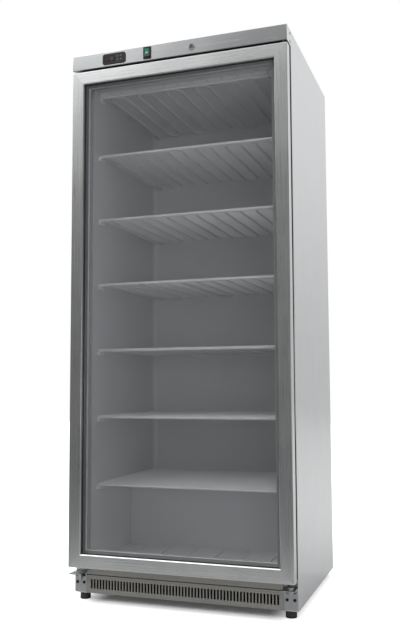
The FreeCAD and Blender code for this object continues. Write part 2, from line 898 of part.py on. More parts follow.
def lower_hinge_pin():
    """A shouldered pin, nutted under the ear, on which the door stands."""
    collar_top = "(bracket_top + pin_collar_height)"
    tip = "(door_bottom + pin_reach)"
    ear_under = "(bracket_top - bracket_thickness)"
    nut = f"({ear_under} - pin_nut_height)"
    return revolved("Lower_pin", "lower_hinge_pin", [
        ("0", nut),
        ("pin_collar_radius", nut),
        ("pin_collar_radius", ear_under),
        ("pin_radius", ear_under),
        ("pin_radius", "bracket_top"),
        ("pin_collar_radius", "bracket_top"),
        ("pin_collar_radius", collar_top),
        ("pin_radius", collar_top),
        ("pin_radius", f"{tip} - pin_chamfer"),
        ("pin_radius - pin_chamfer", tip),
        ("0", tip),
    ], PIN_X, PIN_Y)


def upper_hinge_bracket():
    """A plate in the control box with its pin riveted down into the door."""
    seat = f"({PANEL_BOTTOM} + steel_thickness)"
    top = f"({seat} + bracket_thickness)"
    plate = block("Upper_plate", (BRACKET_IN, f"{BRACKET_OUT} - bracket_web"),
                  (f"{FACE} + ear_front", CARCASS), (seat, top))
    upright = block("Upper_upright", (BRACKET_IN, f"{BRACKET_OUT} - bracket_web"),
                    (f"{CARCASS} - bracket_thickness", CARCASS), (seat, f"{seat} + bracket_width"))
    pin = rod("Upper_pin", "pin_radius", "z", (f"{DOOR_TOP} - pin_reach", top), x=PIN_X, y=PIN_Y)
    return node(fuse("Upper_bracket", plate, upright, pin), "upper_hinge_bracket")


def hinge_bushes():
    """A nylon block in each right-hand corner of the door, with a collar round the pin."""
    room = "(frame_wall + bush_gap)"
    x = (f"{HALF} - frame_leg + {room}", f"{HALF} - {room}")
    y = (f"{FACE} + {room}", f"{FACE} + door_depth - {room}")
    low = f"(door_bottom + {room})"
    high = f"({DOOR_TOP} - {room})"
    collar_low = "(bracket_top + pin_collar_height + seat_gap)"
    bushes = []
    spans = {
        "lower": ((low, f"{low} + bush_block_height"), (collar_low, f"{low} + bush_block_height")),
        "upper": ((f"{high} - bush_block_height", high),
                  (f"{high} - bush_block_height", f"{PANEL_BOTTOM} - door_top_gap / 2")),
    }
    for name, (height, neck_height) in spans.items():
        neck = rod(f"Bush_{name}_neck", "bush_radius", "z", neck_height, x=PIN_X, y=PIN_Y)
        bore = rod(f"Bush_{name}_bore", "pin_radius + pin_gap", "z", ("0", TOP), x=PIN_X, y=PIN_Y)
        solid = fuse(f"Bush_{name}_solid", block(f"Bush_{name}_block", x, y, height), neck)
        bushes.append(cut(f"Bush_{name}", solid, bore))
    return node(group("Hinge_bushes", *bushes), "hinge_bushes")


# ---- door ----

def section(kind, edge, inward, hollow):
    """Corners of a door member's section, as distances in from the edge and back from the face."""
    skin = "frame_wall" if hollow else "0"
    near = f"{edge} + {inward} * {skin}"
    leg = f"{edge} + {inward} * (frame_leg - {skin})"
    far = f"{edge} + {inward} * (frame_face - {skin})"
    front = f"{FACE} + {skin}"
    lip = f"{FACE} + frame_lip - {skin}"
    rear = f"{FACE} + door_depth - {skin}"
    bevel_x = f"{edge} + {inward} * (frame_face - frame_bevel - {skin} / 2)"
    bevel_y = f"{FACE} + frame_bevel + {skin} / 2"
    corners = [(near, front), (bevel_x, front), (far, bevel_y), (far, lip), (leg, lip)]
    if kind == "plain":
        return corners + [(leg, rear), (near, rear)]
    groove = f"{FACE} + door_depth - grip_depth - {skin}"
    if hollow:
        return corners + [(leg, groove), (near, groove)]
    grip_in = f"{edge} + {inward} * (grip_margin + grip_width)"
    grip_out = f"{edge} + {inward} * grip_margin"
    return corners + [(leg, rear), (grip_in, rear), (grip_in, groove),
                      (grip_out, groove), (grip_out, rear), (near, rear)]


def swapped(corners):
    return [(y, x) for x, y in corners]


def stile(side):
    """An upright of the door, mitred at both ends; the left one has a finger groove behind."""
    sign = {"left": "-1", "right": "1"}[side]
    kind = {"left": "grip", "right": "plain"}[side]
    edge = f"{sign} * {HALF}"
    inward = f"-1 * {sign}"
    height = f"({DOOR_TOP} - door_bottom)"
    body = doc.addObject("PartDesign::Body", f"Stile_{side}")
    sketch = sketch_on(body, "XY_Plane", f"Stile_{side}_section")
    loop(sketch, section(kind, edge, inward, hollow=False))
    loop(sketch, section(kind, edge, inward, hollow=True))
    pad(body, sketch, height)
    ends = sketch_on(body, "XZ_Plane", f"Stile_{side}_mitres")
    past = f"{edge} - {inward} * mitre_overrun"
    inside = f"{edge} + {inward} * (frame_face + mitre_overrun)"
    reach = "(frame_face + mitre_overrun)"
    loop(ends, [(past, f"{height} + mitre_overrun"), (inside, f"{height} + mitre_overrun"),
                (inside, f"{height} - {reach}")])
    loop(ends, [(past, "-mitre_overrun"), (inside, "-mitre_overrun"), (inside, reach)])
    pocket(body, ends)
    edge_x = (1 if side == "right" else -1) * size("cabinet_width") / 2
    round_edges(body, "frame_radius", lambda along, middle: (
        abs(along.z) > STRAIGHT and abs(middle.x - edge_x) < NEAR and front_edge(middle)))
    move(body, z="door_bottom")
    return body


def front_edge(middle):
    """True for an edge on the door's face."""
    return abs(middle.y - size("controls_proud") + size("overall_depth") / 2) < NEAR


def rail(end):
    """A cross member of the door, mitred at both ends."""
    edge = {"top": DOOR_TOP, "bottom": "door_bottom"}[end]
    inward = {"top": "-1", "bottom": "1"}[end]
    body = doc.addObject("PartDesign::Body", f"Door_rail_{end}")
    sketch = sketch_on(body, "YZ_Plane", f"Door_rail_{end}_section")
    loop(sketch, swapped(section("plain", edge, inward, hollow=False)))
    loop(sketch, swapped(section("plain", edge, inward, hollow=True)))
    pad(body, sketch, "cabinet_width", symmetric=True)
    ends = sketch_on(body, "XZ_Plane", f"Door_rail_{end}_mitres")
    past = f"{edge} - {inward} * mitre_overrun"
    inside = f"{edge} + {inward} * (frame_face + mitre_overrun)"
    for sign in ("-1", "1"):
        beyond = f"{sign} * ({HALF} + mitre_overrun)"
        within = f"{sign} * ({HALF} - frame_face - mitre_overrun)"
        loop(ends, [(beyond, past), (beyond, inside), (within, inside)])
    pocket(body, ends)
    doc.recompute()
    edge_z = body.Tip.Shape.BoundBox.ZMax if end == "top" else body.Tip.Shape.BoundBox.ZMin
    round_edges(body, "frame_radius", lambda along, middle: (
        abs(along.x) > STRAIGHT and abs(middle.z - edge_z) < NEAR and front_edge(middle)))
    return body


def door_frame():
    """Four mitred members, bored for the hinge bushes and slotted for the lock's cam."""
    bore = rod("Door_bore", "bush_radius + pin_gap", "z", ("0", TOP), x=PIN_X, y=PIN_Y)
    cam_y = f"({FACE} + steel_thickness + lock_sleeve_length)"
    slot = block(
        "Door_cam_slot",
        ("lock_x - cam_width / 2 - cam_slot_gap", "lock_x + cam_length"),
        (f"{cam_y} - cam_slot_gap", f"{cam_y} + cam_thickness + cam_slot_gap"),
        (f"{DOOR_TOP} - frame_leg / 2", TOP))
    node(stile("left"), "door_stile_left")
    node(cut("Stile_right_bored", stile("right"), bore), "door_stile_right")
    node(cut("Door_rail_top_cut", rail("top"), bore, slot), "door_rail_top")
    node(cut("Door_rail_bottom_cut", rail("bottom"), bore), "door_rail_bottom")


def door_plate(name, inset, front, rear):
    """A flat rectangle in the door, inset all round from the door's edges."""
    return block(name, wide(f"{HALF} - ({inset})"), (front, rear),
                 (f"door_bottom + ({inset})", f"{DOOR_TOP} - ({inset})"))


def door_ring(name, inset, width, front, rear):
    """A flat frame in the door, inset all round from the door's edges."""
    return cut(name, door_plate(f"{name}_outside", inset, front, rear),
               door_plate(f"{name}_inside", f"({inset}) + ({width})", front, rear))


def glazing():
    """The sealed glass unit, its spacer and the black tape it is bedded on."""
    tape = f"({FACE} + frame_lip)"
    outer = f"({tape} + pane_tape)"
    spacer = f"({outer} + pane_thickness)"
    rear = f"({FACE} + door_depth)"
    inner = f"({rear} - pane_thickness)"
    node(door_ring("Glazing_tape", "pane_inset", "frame_face - pane_inset + pane_tape_reveal",
                   tape, outer), "glazing_tape")
    node(door_plate("Outer_pane", "pane_inset", outer, spacer), "glass_outer")
    node(door_ring("Spacer", "spacer_inset", "spacer_width", spacer, inner), "glass_spacer")
    node(door_plate("Inner_pane", "pane_inset", inner, rear), "glass_inner")


def door_inner_frame():
    """The plastic frame that holds the glass in and the seal on."""
    rear = f"({FACE} + door_depth)"
    ring = door_ring("Inner_frame", "inner_frame_inset", "inner_frame_width", rear,
                     f"{rear} + inner_frame_depth")
    return node(ring, "door_inner_frame")


def door_seal():
    """The magnetic seal: a wide foot, a narrow bellows and the magnet's pocket."""
    foot_front = f"({FACE} + door_depth + inner_frame_depth)"
    neck_front = f"({foot_front} + seal_base_depth)"
    rear = f"({CARCASS} - seat_gap)"
    magnet_front = f"({rear} - seal_magnet_depth)"
    neck_inset = "(seal_inset + (seal_width - seal_neck_width) / 2)"
    return node(fuse(
        "Seal",
        door_ring("Seal_foot", "seal_inset", "seal_width", foot_front, neck_front),
        door_ring("Seal_neck", neck_inset, "seal_neck_width", neck_front, magnet_front),
        door_ring("Seal_magnet", "seal_inset", "seal_width", magnet_front, rear),
    ), "door_seal")


# ---- control panel ----

def control_panel():
    """The folded panel over the door, open to the rear, with its cut-outs."""
    body = doc.addObject("PartDesign::Body", "Panel")
    sketch = sketch_on(body, "XZ_Plane", "Panel_outline")
    rectangle(sketch, wide(HALF), (PANEL_BOTTOM, TOP))
    pad(body, sketch, f"{CARCASS} - {FACE}", reverse=True)
    move(body, y=FACE)
    round_edges(body, "frame_radius", lambda along, middle: abs(middle.y) < NEAR)
    hollow = block("Panel_hollow", wide(SHELL_HALF), (f"{FACE} + steel_thickness", CARCASS),
                   (f"{PANEL_BOTTOM} + steel_thickness", f"{TOP} - steel_thickness"))
    cam_y = f"({FACE} + steel_thickness + lock_sleeve_length)"
    through = (f"{FACE} - controls_proud", f"{FACE} + steel_thickness * 2")
    tools = [
        hollow,
        block("Panel_controller_hole", about("controller_x", "controller_body_width"), through,
              about(CONTROLLER_Z, "controller_body_height")),
        block("Panel_switch_hole", about("switch_x", "switch_body_width"), through,
              about(SWITCH_Z, "switch_body_height")),
        rod("Panel_lock_hole", "lock_sleeve_radius", "y", through, x="lock_x", z=LOCK_Z),
        rod("Panel_pin_hole", "bush_radius", "z",
            (f"{PANEL_BOTTOM} - door_top_gap", f"{PANEL_BOTTOM} + steel_thickness"), x=PIN_X, y=PIN_Y),
        block("Panel_cam_slot",
              ("lock_x - cam_width / 2 - cam_slot_gap", "lock_x + cam_length"),
              (f"{cam_y} - cam_slot_gap", f"{cam_y} + cam_thickness + cam_slot_gap"),
              (f"{PANEL_BOTTOM} - door_top_gap", f"{PANEL_BOTTOM} + steel_thickness * 2")),
    ]
    for index, (sign, z) in enumerate(panel_screw_places()):
        tools.append(rod(f"Panel_screw_hole_{index + 1}", "panel_screw_radius", "x",
                         side_span(sign, "panel_screw_length"), y=PANEL_SCREW_Y, z=z))
    return node(cut("Panel_cut", body, *tools), "control_panel")


def side_span(sign, length):
    """Formulas from inside a side wall to its outer face."""
    if sign > 0:
        return (f"{HALF} - {length}", f"{HALF} + {length}")
    return (f"-({HALF} + {length})", f"-({HALF} - {length})")


def panel_screw_places():
    """Side and height of the screws that hold the panel's ends."""
    middle = f"({TOP} - panel_height / 2)"
    return [(sign, f"{middle} + {row} * panel_screw_pitch / 2") for sign in (-1, 1) for row in (-1, 1)]


def cover_screws():
    """Small screws in the panel's ends and round the rear cover."""
    small = ("panel_screw_head_radius", "panel_screw_head_height", "panel_screw_radius",
             "panel_screw_length")
    screws = []
    for index, (sign, z) in enumerate(panel_screw_places()):
        screws.append(screw(f"Panel_screw_{index + 1}", *small, "x",
                            (f"{sign} * {HALF}", sign), y=PANEL_SCREW_Y, z=z))
    for index, (x, z) in enumerate(cover_screw_places()):
        screws.append(screw(f"Rear_screw_{index + 1}", *small, "y", (COVER_REAR, 1), x=x, z=z))
    return node(group("Cover_screws", *screws), "cover_screws")


def controller():
    """The bezel and body in one moulding, the window and four push buttons."""
    front = f"({FACE} - controller_proud)"
    body = doc.addObject("PartDesign::Body", "Controller")
    sketch = sketch_on(body, "XZ_Plane", "Controller_outline")
    rectangle(sketch, about("controller_x", "controller_width"),
              about(CONTROLLER_Z, "controller_height"))
    pad(body, sketch, "controller_proud", reverse=True)
    move(body, y=front)
    round_edges(body, "controller_corner", lambda along, middle: abs(along.y) > STRAIGHT)
    box = block("Controller_box", about("controller_x", "controller_body_width"),
                (FACE, f"{FACE} + controller_body_depth"),
                about(CONTROLLER_Z, "controller_body_height"))
    window = (about("controller_x + display_offset", "display_width"),
              (f"{FACE} - controls_proud", f"{front} + display_depth"),
              about(CONTROLLER_Z, "display_height"))
    tools = [block("Controller_window_seat", *window)]
    for index, (x, z) in enumerate(button_places()):
        tools.append(block(
            f"Controller_button_seat_{index + 1}", about(x, "button_width + 2 * button_gap"),
            (f"{FACE} - controls_proud", f"{front} + button_depth + button_travel + button_gap"),
            about(z, "button_height + 2 * button_gap")))
    node(cut("Controller_moulding", fuse("Controller_solid", body, box), *tools), "controller_housing")
    glass = (f"{front} + display_recess", window[1][1])
    node(block("Window", window[0], glass, window[2]), "controller_window")
    for index, (x, z) in enumerate(button_places()):
        button = block(f"Button_{index + 1}", about(x, "button_width"),
                       (f"{front} - button_proud", f"{front} + button_depth"),
                       about(z, "button_height"))
        node(button, f"controller_button_{index + 1}")


def button_places():
    """X and Z of the four buttons, two by two at the right of the window."""
    return [(f"controller_x + button_offset + {column} * button_pitch_x",
             f"{CONTROLLER_Z} + {row} * button_pitch_z / 2")
            for row in (1, -1) for column in (0, 1)]


def switch():
    """The lit mains switch: a bezel with its body, and a rocker on a cross axle."""
    front = f"({FACE} - switch_proud)"
    axle_y = f"({FACE} + rocker_depth / 2)"
    body = doc.addObject("PartDesign::Body", "Switch")
    sketch = sketch_on(body, "XZ_Plane", "Switch_outline")
    rectangle(sketch, about("switch_x", "switch_width"), about(SWITCH_Z, "switch_height"))
    pad(body, sketch, "switch_proud", reverse=True)
    move(body, y=front)
    round_edges(body, "frame_radius", lambda along, middle: abs(along.y) > STRAIGHT)
    box = block("Switch_box", about("switch_x", "switch_body_width"),
                (FACE, f"{FACE} + switch_body_depth"), about(SWITCH_Z, "switch_body_height"))
    well = block("Switch_well", about("switch_x", "rocker_width + 2 * rocker_gap"),
                 (f"{FACE} - controls_proud", f"{FACE} + rocker_depth + rocker_room"),
                 about(SWITCH_Z, "rocker_height + 4 * rocker_gap"))
    axle_hole = rod("Switch_axle_hole", "rocker_axle_radius + pin_gap", "x",
                    about("switch_x", "rocker_width + 2 * (rocker_axle_reach + rocker_gap)"),
                    y=axle_y, z=SWITCH_Z)
    node(cut("Switch_moulding", fuse("Switch_solid", body, box), well, axle_hole), "switch_housing")

    half = size("rocker_height") / 2
    depth = size("rocker_depth")
    proud = size("switch_proud")
    slope = math.radians(size("rocker_tilt_degrees"))
    dip = half * math.tan(slope)
    profile = [
        (-depth / 2 - proud, 0),
        (-depth / 2 - proud - dip, half),
        (depth / 2 - dip, half),
        (depth / 2, 0),
        (depth / 2 - dip, -half),
        (-depth / 2 - proud - dip, -half),
    ]
    wide_by = size("rocker_width")
    corners = [FreeCAD.Vector(-wide_by / 2, y, z) for y, z in profile]
    face = Part.Face(Part.makePolygon(corners + corners[:1]))
    cap = face.extrude(FreeCAD.Vector(wide_by, 0, 0))
    axle_half = wide_by / 2 + size("rocker_axle_reach")
    axle = Part.makeCylinder(size("rocker_axle_radius"), 2 * axle_half,
                             FreeCAD.Vector(-axle_half, 0, 0), FreeCAD.Vector(1, 0, 0))
    rocker = shaped("Rocker", cap.fuse(axle).removeSplitter())
    tilt = FreeCAD.Rotation(FreeCAD.Vector(1, 0, 0), -size("rocker_tilt_degrees"))
    rocker.Placement = FreeCAD.Placement(FreeCAD.Vector(), tilt)
    move(rocker, x="switch_x", y=axle_y, z=SWITCH_Z)
    node(rocker, "power_rocker")


def lock():
    """The fixed ring, sleeve and nut, and the barrel that turns the cam."""
    sleeve_end = f"({FACE} + steel_thickness + lock_sleeve_length)"
    place = {"x": "lock_x", "z": LOCK_Z}
    ring = rod("Lock_ring", "lock_ring_radius", "y", (f"{FACE} - lock_ring_proud", FACE), **place)
    sleeve = rod("Lock_sleeve", "lock_sleeve_radius", "y",
                 (FACE, f"{sleeve_end} - seat_gap"), **place)
    nut = rod("Lock_nut", "lock_nut_radius", "y",
              (f"{FACE} + steel_thickness", f"{FACE} + steel_thickness + lock_nut_depth"), **place)
    bore = rod("Lock_bore", "lock_barrel_radius + pin_gap", "y",
               (f"{FACE} - controls_proud", f"{sleeve_end} + cam_thickness"), **place)
    node(cut("Lock_body", fuse("Lock_solid", ring, sleeve, nut), bore), "lock_housing")
    plug = rod("Lock_plug", "lock_barrel_radius", "y",
               (f"{FACE} - lock_barrel_proud", f"{sleeve_end} + cam_thickness"), **place)
    arm = block("Lock_cam", ("lock_x", "lock_x + cam_length - cam_width / 2"),
                (sleeve_end, f"{sleeve_end} + cam_thickness"), about(LOCK_Z, "cam_width"))
    hub = rod("Lock_cam_hub", "lock_sleeve_radius", "y",
              (sleeve_end, f"{sleeve_end} + cam_thickness"), **place)
    tip = rod("Lock_cam_tip", "cam_width / 2", "y", (sleeve_end, f"{sleeve_end} + cam_thickness"),
              x="lock_x + cam_length - cam_width / 2", z=LOCK_Z)
    slot = block("Lock_key_slot", about("lock_x", "key_slot_width"),
                 (f"{FACE} - controls_proud", f"{FACE} - lock_barrel_proud + key_slot_depth"),
                 about(LOCK_Z, "key_slot_height"))
    node(cut("Lock_barrel", fuse("Lock_barrel_solid", plug, arm, hub, tip), slot), "lock_barrel")


# ---- evaporator shelves ----

def outer_run():
    """X of a shelf's outermost run of tube."""
    return size("cabinet_width") / 2 - size("side_wall") - size("tube_side_room")


def run_places():
    """X of each run of a shelf's tube, from the left."""
    runs = count("tube_run_count")
    return [outer_run() * (2 * i / (runs - 1) - 1) for i in range(runs)]


def serpentine():
    """The flat run of tube that a shelf is made of, with both ends led out at the rear."""
    places = run_places()
    pitch = places[1] - places[0]
    front = size("shelf_front") + 2 * size("shelf_bar_radius") + size("tube_radius") + size("seat_gap")
    liner_rear = size("overall_depth") - size("controls_proud") - size("rear_wall")
    rear = liner_rear - size("shelf_rear_gap")
    outlet = liner_rear + size("riser_setback") - size("riser_radius") - size("seat_gap")
    bend = pitch / 2
    edges = []
    start = FreeCAD.Vector(places[0], outlet, 0)
    for run, x in enumerate(places):
        last = x == places[-1]
        forward = run % 2 == 0
        turn_y = front + bend if forward else rear - bend
        if last:
            turn_y = outlet
        end = FreeCAD.Vector(x, turn_y, 0)
        edges.append(Part.LineSegment(start, end).toShape())
        if not last:
            tip = front if forward else rear
            start = FreeCAD.Vector(x + pitch, turn_y, 0)
            edges.append(Part.Arc(end, FreeCAD.Vector(x + bend, tip, 0), start).toShape())
    ring = Part.Wire([Part.makeCircle(size("tube_radius"), edges[0].valueAt(0),
                                      FreeCAD.Vector(0, 1, 0))])
    return Part.Wire(edges).makePipeShell([ring], True, False)


def wires():
    """The straight cross wires that lie on a shelf's tubes."""
    half = size("cabinet_width") / 2 - size("side_wall") - size("shelf_side_gap")
    first = (size("shelf_front") + 2 * size("shelf_bar_radius") + size("wire_radius")
             + size("wire_bar_gap"))
    rear = (size("overall_depth") - size("controls_proud") - size("rear_wall")
            - size("shelf_rear_gap") - size("wire_radius"))
    total = count("wire_count")
    rise = size("tube_radius") + size("wire_radius") + size("wire_gap")
    return [Part.makeCylinder(size("wire_radius"), 2 * half,
                              FreeCAD.Vector(-half, first + (rear - first) * i / (total - 1), rise),
                              FreeCAD.Vector(1, 0, 0)) for i in range(total)]


def front_bar():
    """The round bar along a shelf's front edge."""
    radius = size("shelf_bar_radius")
    half = size("cabinet_width") / 2 - size("side_wall") - size("shelf_side_gap")
    return Part.makeCylinder(radius, 2 * half, FreeCAD.Vector(-half, size("shelf_front") + radius, 0),
                             FreeCAD.Vector(1, 0, 0))


def ceiling_strip():
    """The drilled strip that stands between the ceiling and the front bar of its coil."""
    half = size("cabinet_width") / 2 - size("side_wall") - size("shelf_side_gap")
    thick = size("ceiling_strip_thickness")
    front = size("shelf_front") + size("shelf_bar_radius") - thick / 2
    low = size("shelf_bar_radius") + size("seat_gap")
    high = size("ceiling_coil_drop") - size("seat_gap")
    strip = Part.makeBox(2 * half, thick, high - low, FreeCAD.Vector(-half, front, low))
    holes = [Part.makeCylinder(size("ceiling_strip_hole_radius"), thick,
                               FreeCAD.Vector(x, front, (low + high) / 2), FreeCAD.Vector(0, 1, 0))
             for x in run_places()]
    return strip.cut(Part.makeCompound(holes))


def evaporators():
    """Six shelves and the ceiling's coil, all of one tube pattern."""
    coil = serpentine()
    cross = wires()
    heights = shelf_heights()
    for level, height in enumerate(heights, start=1):
        on_ceiling = level == len(heights)
        front = [front_bar(), ceiling_strip()] if on_ceiling else [front_bar()]
        name = "Ceiling_coil" if on_ceiling else f"Shelf_{level}"
        piece = shaped(name, Part.makeCompound([coil] + front + cross))
        move(piece, y=FACE, z=height)
        node(piece, "ceiling_evaporator" if on_ceiling else f"evaporator_shelf_{level}")


def shelf_clips():
    """White clips on the side walls, one under each end of a shelf's front bar."""
    clips = []
    heights = shelf_heights()
    for level, height in enumerate(heights, start=1):
        for side in ("left", "right"):
            name = f"Clip_{side}_{level}"
            wall, inner = f"{LINER_HALF}", f"({LINER_HALF} - clip_width)"
            span = (inner, wall) if side == "right" else (f"-{wall}", f"-{inner}")
            bar = f"({SHELF_FRONT} + shelf_bar_radius)"
            solid = block(f"{name}_block", span, (f"{bar} - shelf_bar_radius - clip_wall",
                                                 f"{bar} + clip_length"),
                          (f"{height} - clip_height", f"{height} - tube_radius - seat_gap"))
            groove = rod(f"{name}_groove", "shelf_bar_radius + seat_gap", "x", wide(HALF),
                         y=bar, z=height)
            clips.append(cut(name, solid, groove))
    return node(group("Clips", *clips), "shelf_clips")


def evaporator_risers():
    """The two upright pipes behind the liner that join the evaporators' tubes."""
    bottom = f"({MACHINE_TOP} - pipe_bend)"
    top = f"({CEILING} - ceiling_coil_drop + tube_radius * 2)"
    pipes = [rod(f"Riser_{side}", "riser_radius", "z", (bottom, top), x=f"{sign} * {OUTER_RUN}",
                 y=RISER_Y) for side, sign in (("left", "-1"), ("right", "1"))]
    return node(group("Risers", *pipes), "evaporator_risers")


# ---- machine compartment ----

def mount_places():
    """Name, X and Y of the compressor's four rubber mounts."""
    across = "(compressor_plate_width / 2 - mount_inset)"
    along = "(compressor_plate_depth / 2 - mount_inset)"
    places = []
    for name, side in (("left", "-1"), ("right", "1")):
        for end, way in (("front", "-1"), ("rear", "1")):
            places.append((f"{end}_{name}", f"{COMPRESSOR_X} + {side} * {across}",
                           f"{COMPRESSOR_Y} + {way} * {along}"))
    return places


def compressor():
    """The sealed steel pot on its foot plate."""
    plate_low = f"({PAN_TOP} + mount_height)"
    pot_low = f"({plate_low} + compressor_plate_thickness)"
    body = doc.addObject("PartDesign::Body", "Pot")
    sketch = sketch_on(body, "XZ_Plane", "Pot_profile")
    seam_top = "compressor_seam_height + compressor_seam_width"
    loop(sketch, [
        ("0", "0"),
        ("compressor_base_radius", "0"),
        ("compressor_shoulder_radius", "compressor_foot_height"),
        (POT_WALL, "compressor_wall_bottom"),
        (POT_WALL, "compressor_seam_height"),
        ("compressor_radius", "compressor_seam_height"),
        ("compressor_radius", seam_top),
        (POT_WALL, seam_top),
        ("compressor_shoulder_radius", "compressor_height - compressor_shoulder_drop"),
        ("compressor_base_radius", "compressor_height - compressor_crown_drop"),
        ("0", "compressor_height"),
    ])
    turn = body.newObject("PartDesign::Revolution", "Pot_turned")
    turn.Profile = sketch
    turn.ReferenceAxis = (sketch, ["V_Axis"])
    turn.Angle = 360
    body.Tip = turn
    move(body, x=COMPRESSOR_X, y=COMPRESSOR_Y, z=pot_low)
    plate = block("Pot_plate", about(COMPRESSOR_X, "compressor_plate_width"),
                  about(COMPRESSOR_Y, "compressor_plate_depth"), (plate_low, pot_low))
    drills = [rod(f"Pot_drill_{name}", "mount_bolt_radius", "z", (PAN_TOP, MACHINE_TOP),
                  x=x, y=y) for name, x, y in mount_places()]
    node(cut("Pot_mounted", fuse("Pot_welded", body, plate), *drills), "compressor")
    mounts = []
    for name, x, y in mount_places():
        rubber = rod(f"Mount_{name}", "mount_radius", "z", (PAN_TOP, plate_low), x=x, y=y)
        hole = rod(f"Mount_{name}_hole", "mount_bolt_radius", "z", ("0", TOP), x=x, y=y)
        mounts.append(cut(f"Mount_{name}_ring", rubber, hole))
    node(group("Mounts", *mounts), "compressor_mounts")


def terminal_cover():
    """The plastic box over the compressor's terminals."""
    low = f"({PAN_TOP} + mount_height + compressor_plate_thickness + terminal_rise)"
    outer = f"({COMPRESSOR_X} + {POT_WALL} + terminal_depth)"
    pot = rod("Terminal_pot", f"{POT_WALL} + seat_gap", "z", ("0", TOP),
              x=COMPRESSOR_X, y=COMPRESSOR_Y)
    box = block("Terminal_box", (f"{COMPRESSOR_X} + compressor_radius / 2", outer),
                about(COMPRESSOR_Y, "terminal_width"),
                (low, f"{low} + terminal_height"))
    return node(cut("Terminal_cover", box, pot), "compressor_terminal_cover")


def condenser():
    """A finned block: upright fins on level tubes between two end plates."""
    wide_by = size("condenser_width")
    tall = size("condenser_height")
    deep = size("condenser_depth")
    radius = size("condenser_tube_radius")
    fin = size("fin_thickness")
    plate = size("condenser_plate_thickness")
    rows = count("condenser_row_count")
    heights = [tall * (i + 0.5) / rows for i in range(rows)]

    def drilled(thickness):
        sheet = Part.makeBox(thickness, deep, tall)
        holes = [Part.makeCylinder(radius + size("fin_gap"), thickness, FreeCAD.Vector(0, deep / 2, z),
                                   FreeCAD.Vector(1, 0, 0)) for z in heights]
        return sheet.cut(Part.makeCompound(holes))

    pieces = [Part.makeCylinder(radius, wide_by, FreeCAD.Vector(-wide_by / 2, deep / 2, z),
                                FreeCAD.Vector(1, 0, 0)) for z in heights]
    room = wide_by - 2 * plate
    fins = int(room / size("fin_pitch"))
    fin_sheet = drilled(fin)
    for i in range(fins):
        x = -room / 2 + room * (i + 0.5) / fins - fin / 2
        pieces.append(fin_sheet.translated(FreeCAD.Vector(x, 0, 0)))
    end_sheet = drilled(plate)
    for x in (-wide_by / 2, wide_by / 2 - plate):
        pieces.append(end_sheet.translated(FreeCAD.Vector(x, 0, 0)))
    block_piece = shaped("Condenser", Part.makeCompound(pieces))
    move(block_piece, x=CONDENSER_X, y=CONDENSER_FRONT, z=PAN_TOP)
    return node(block_piece, "condenser")


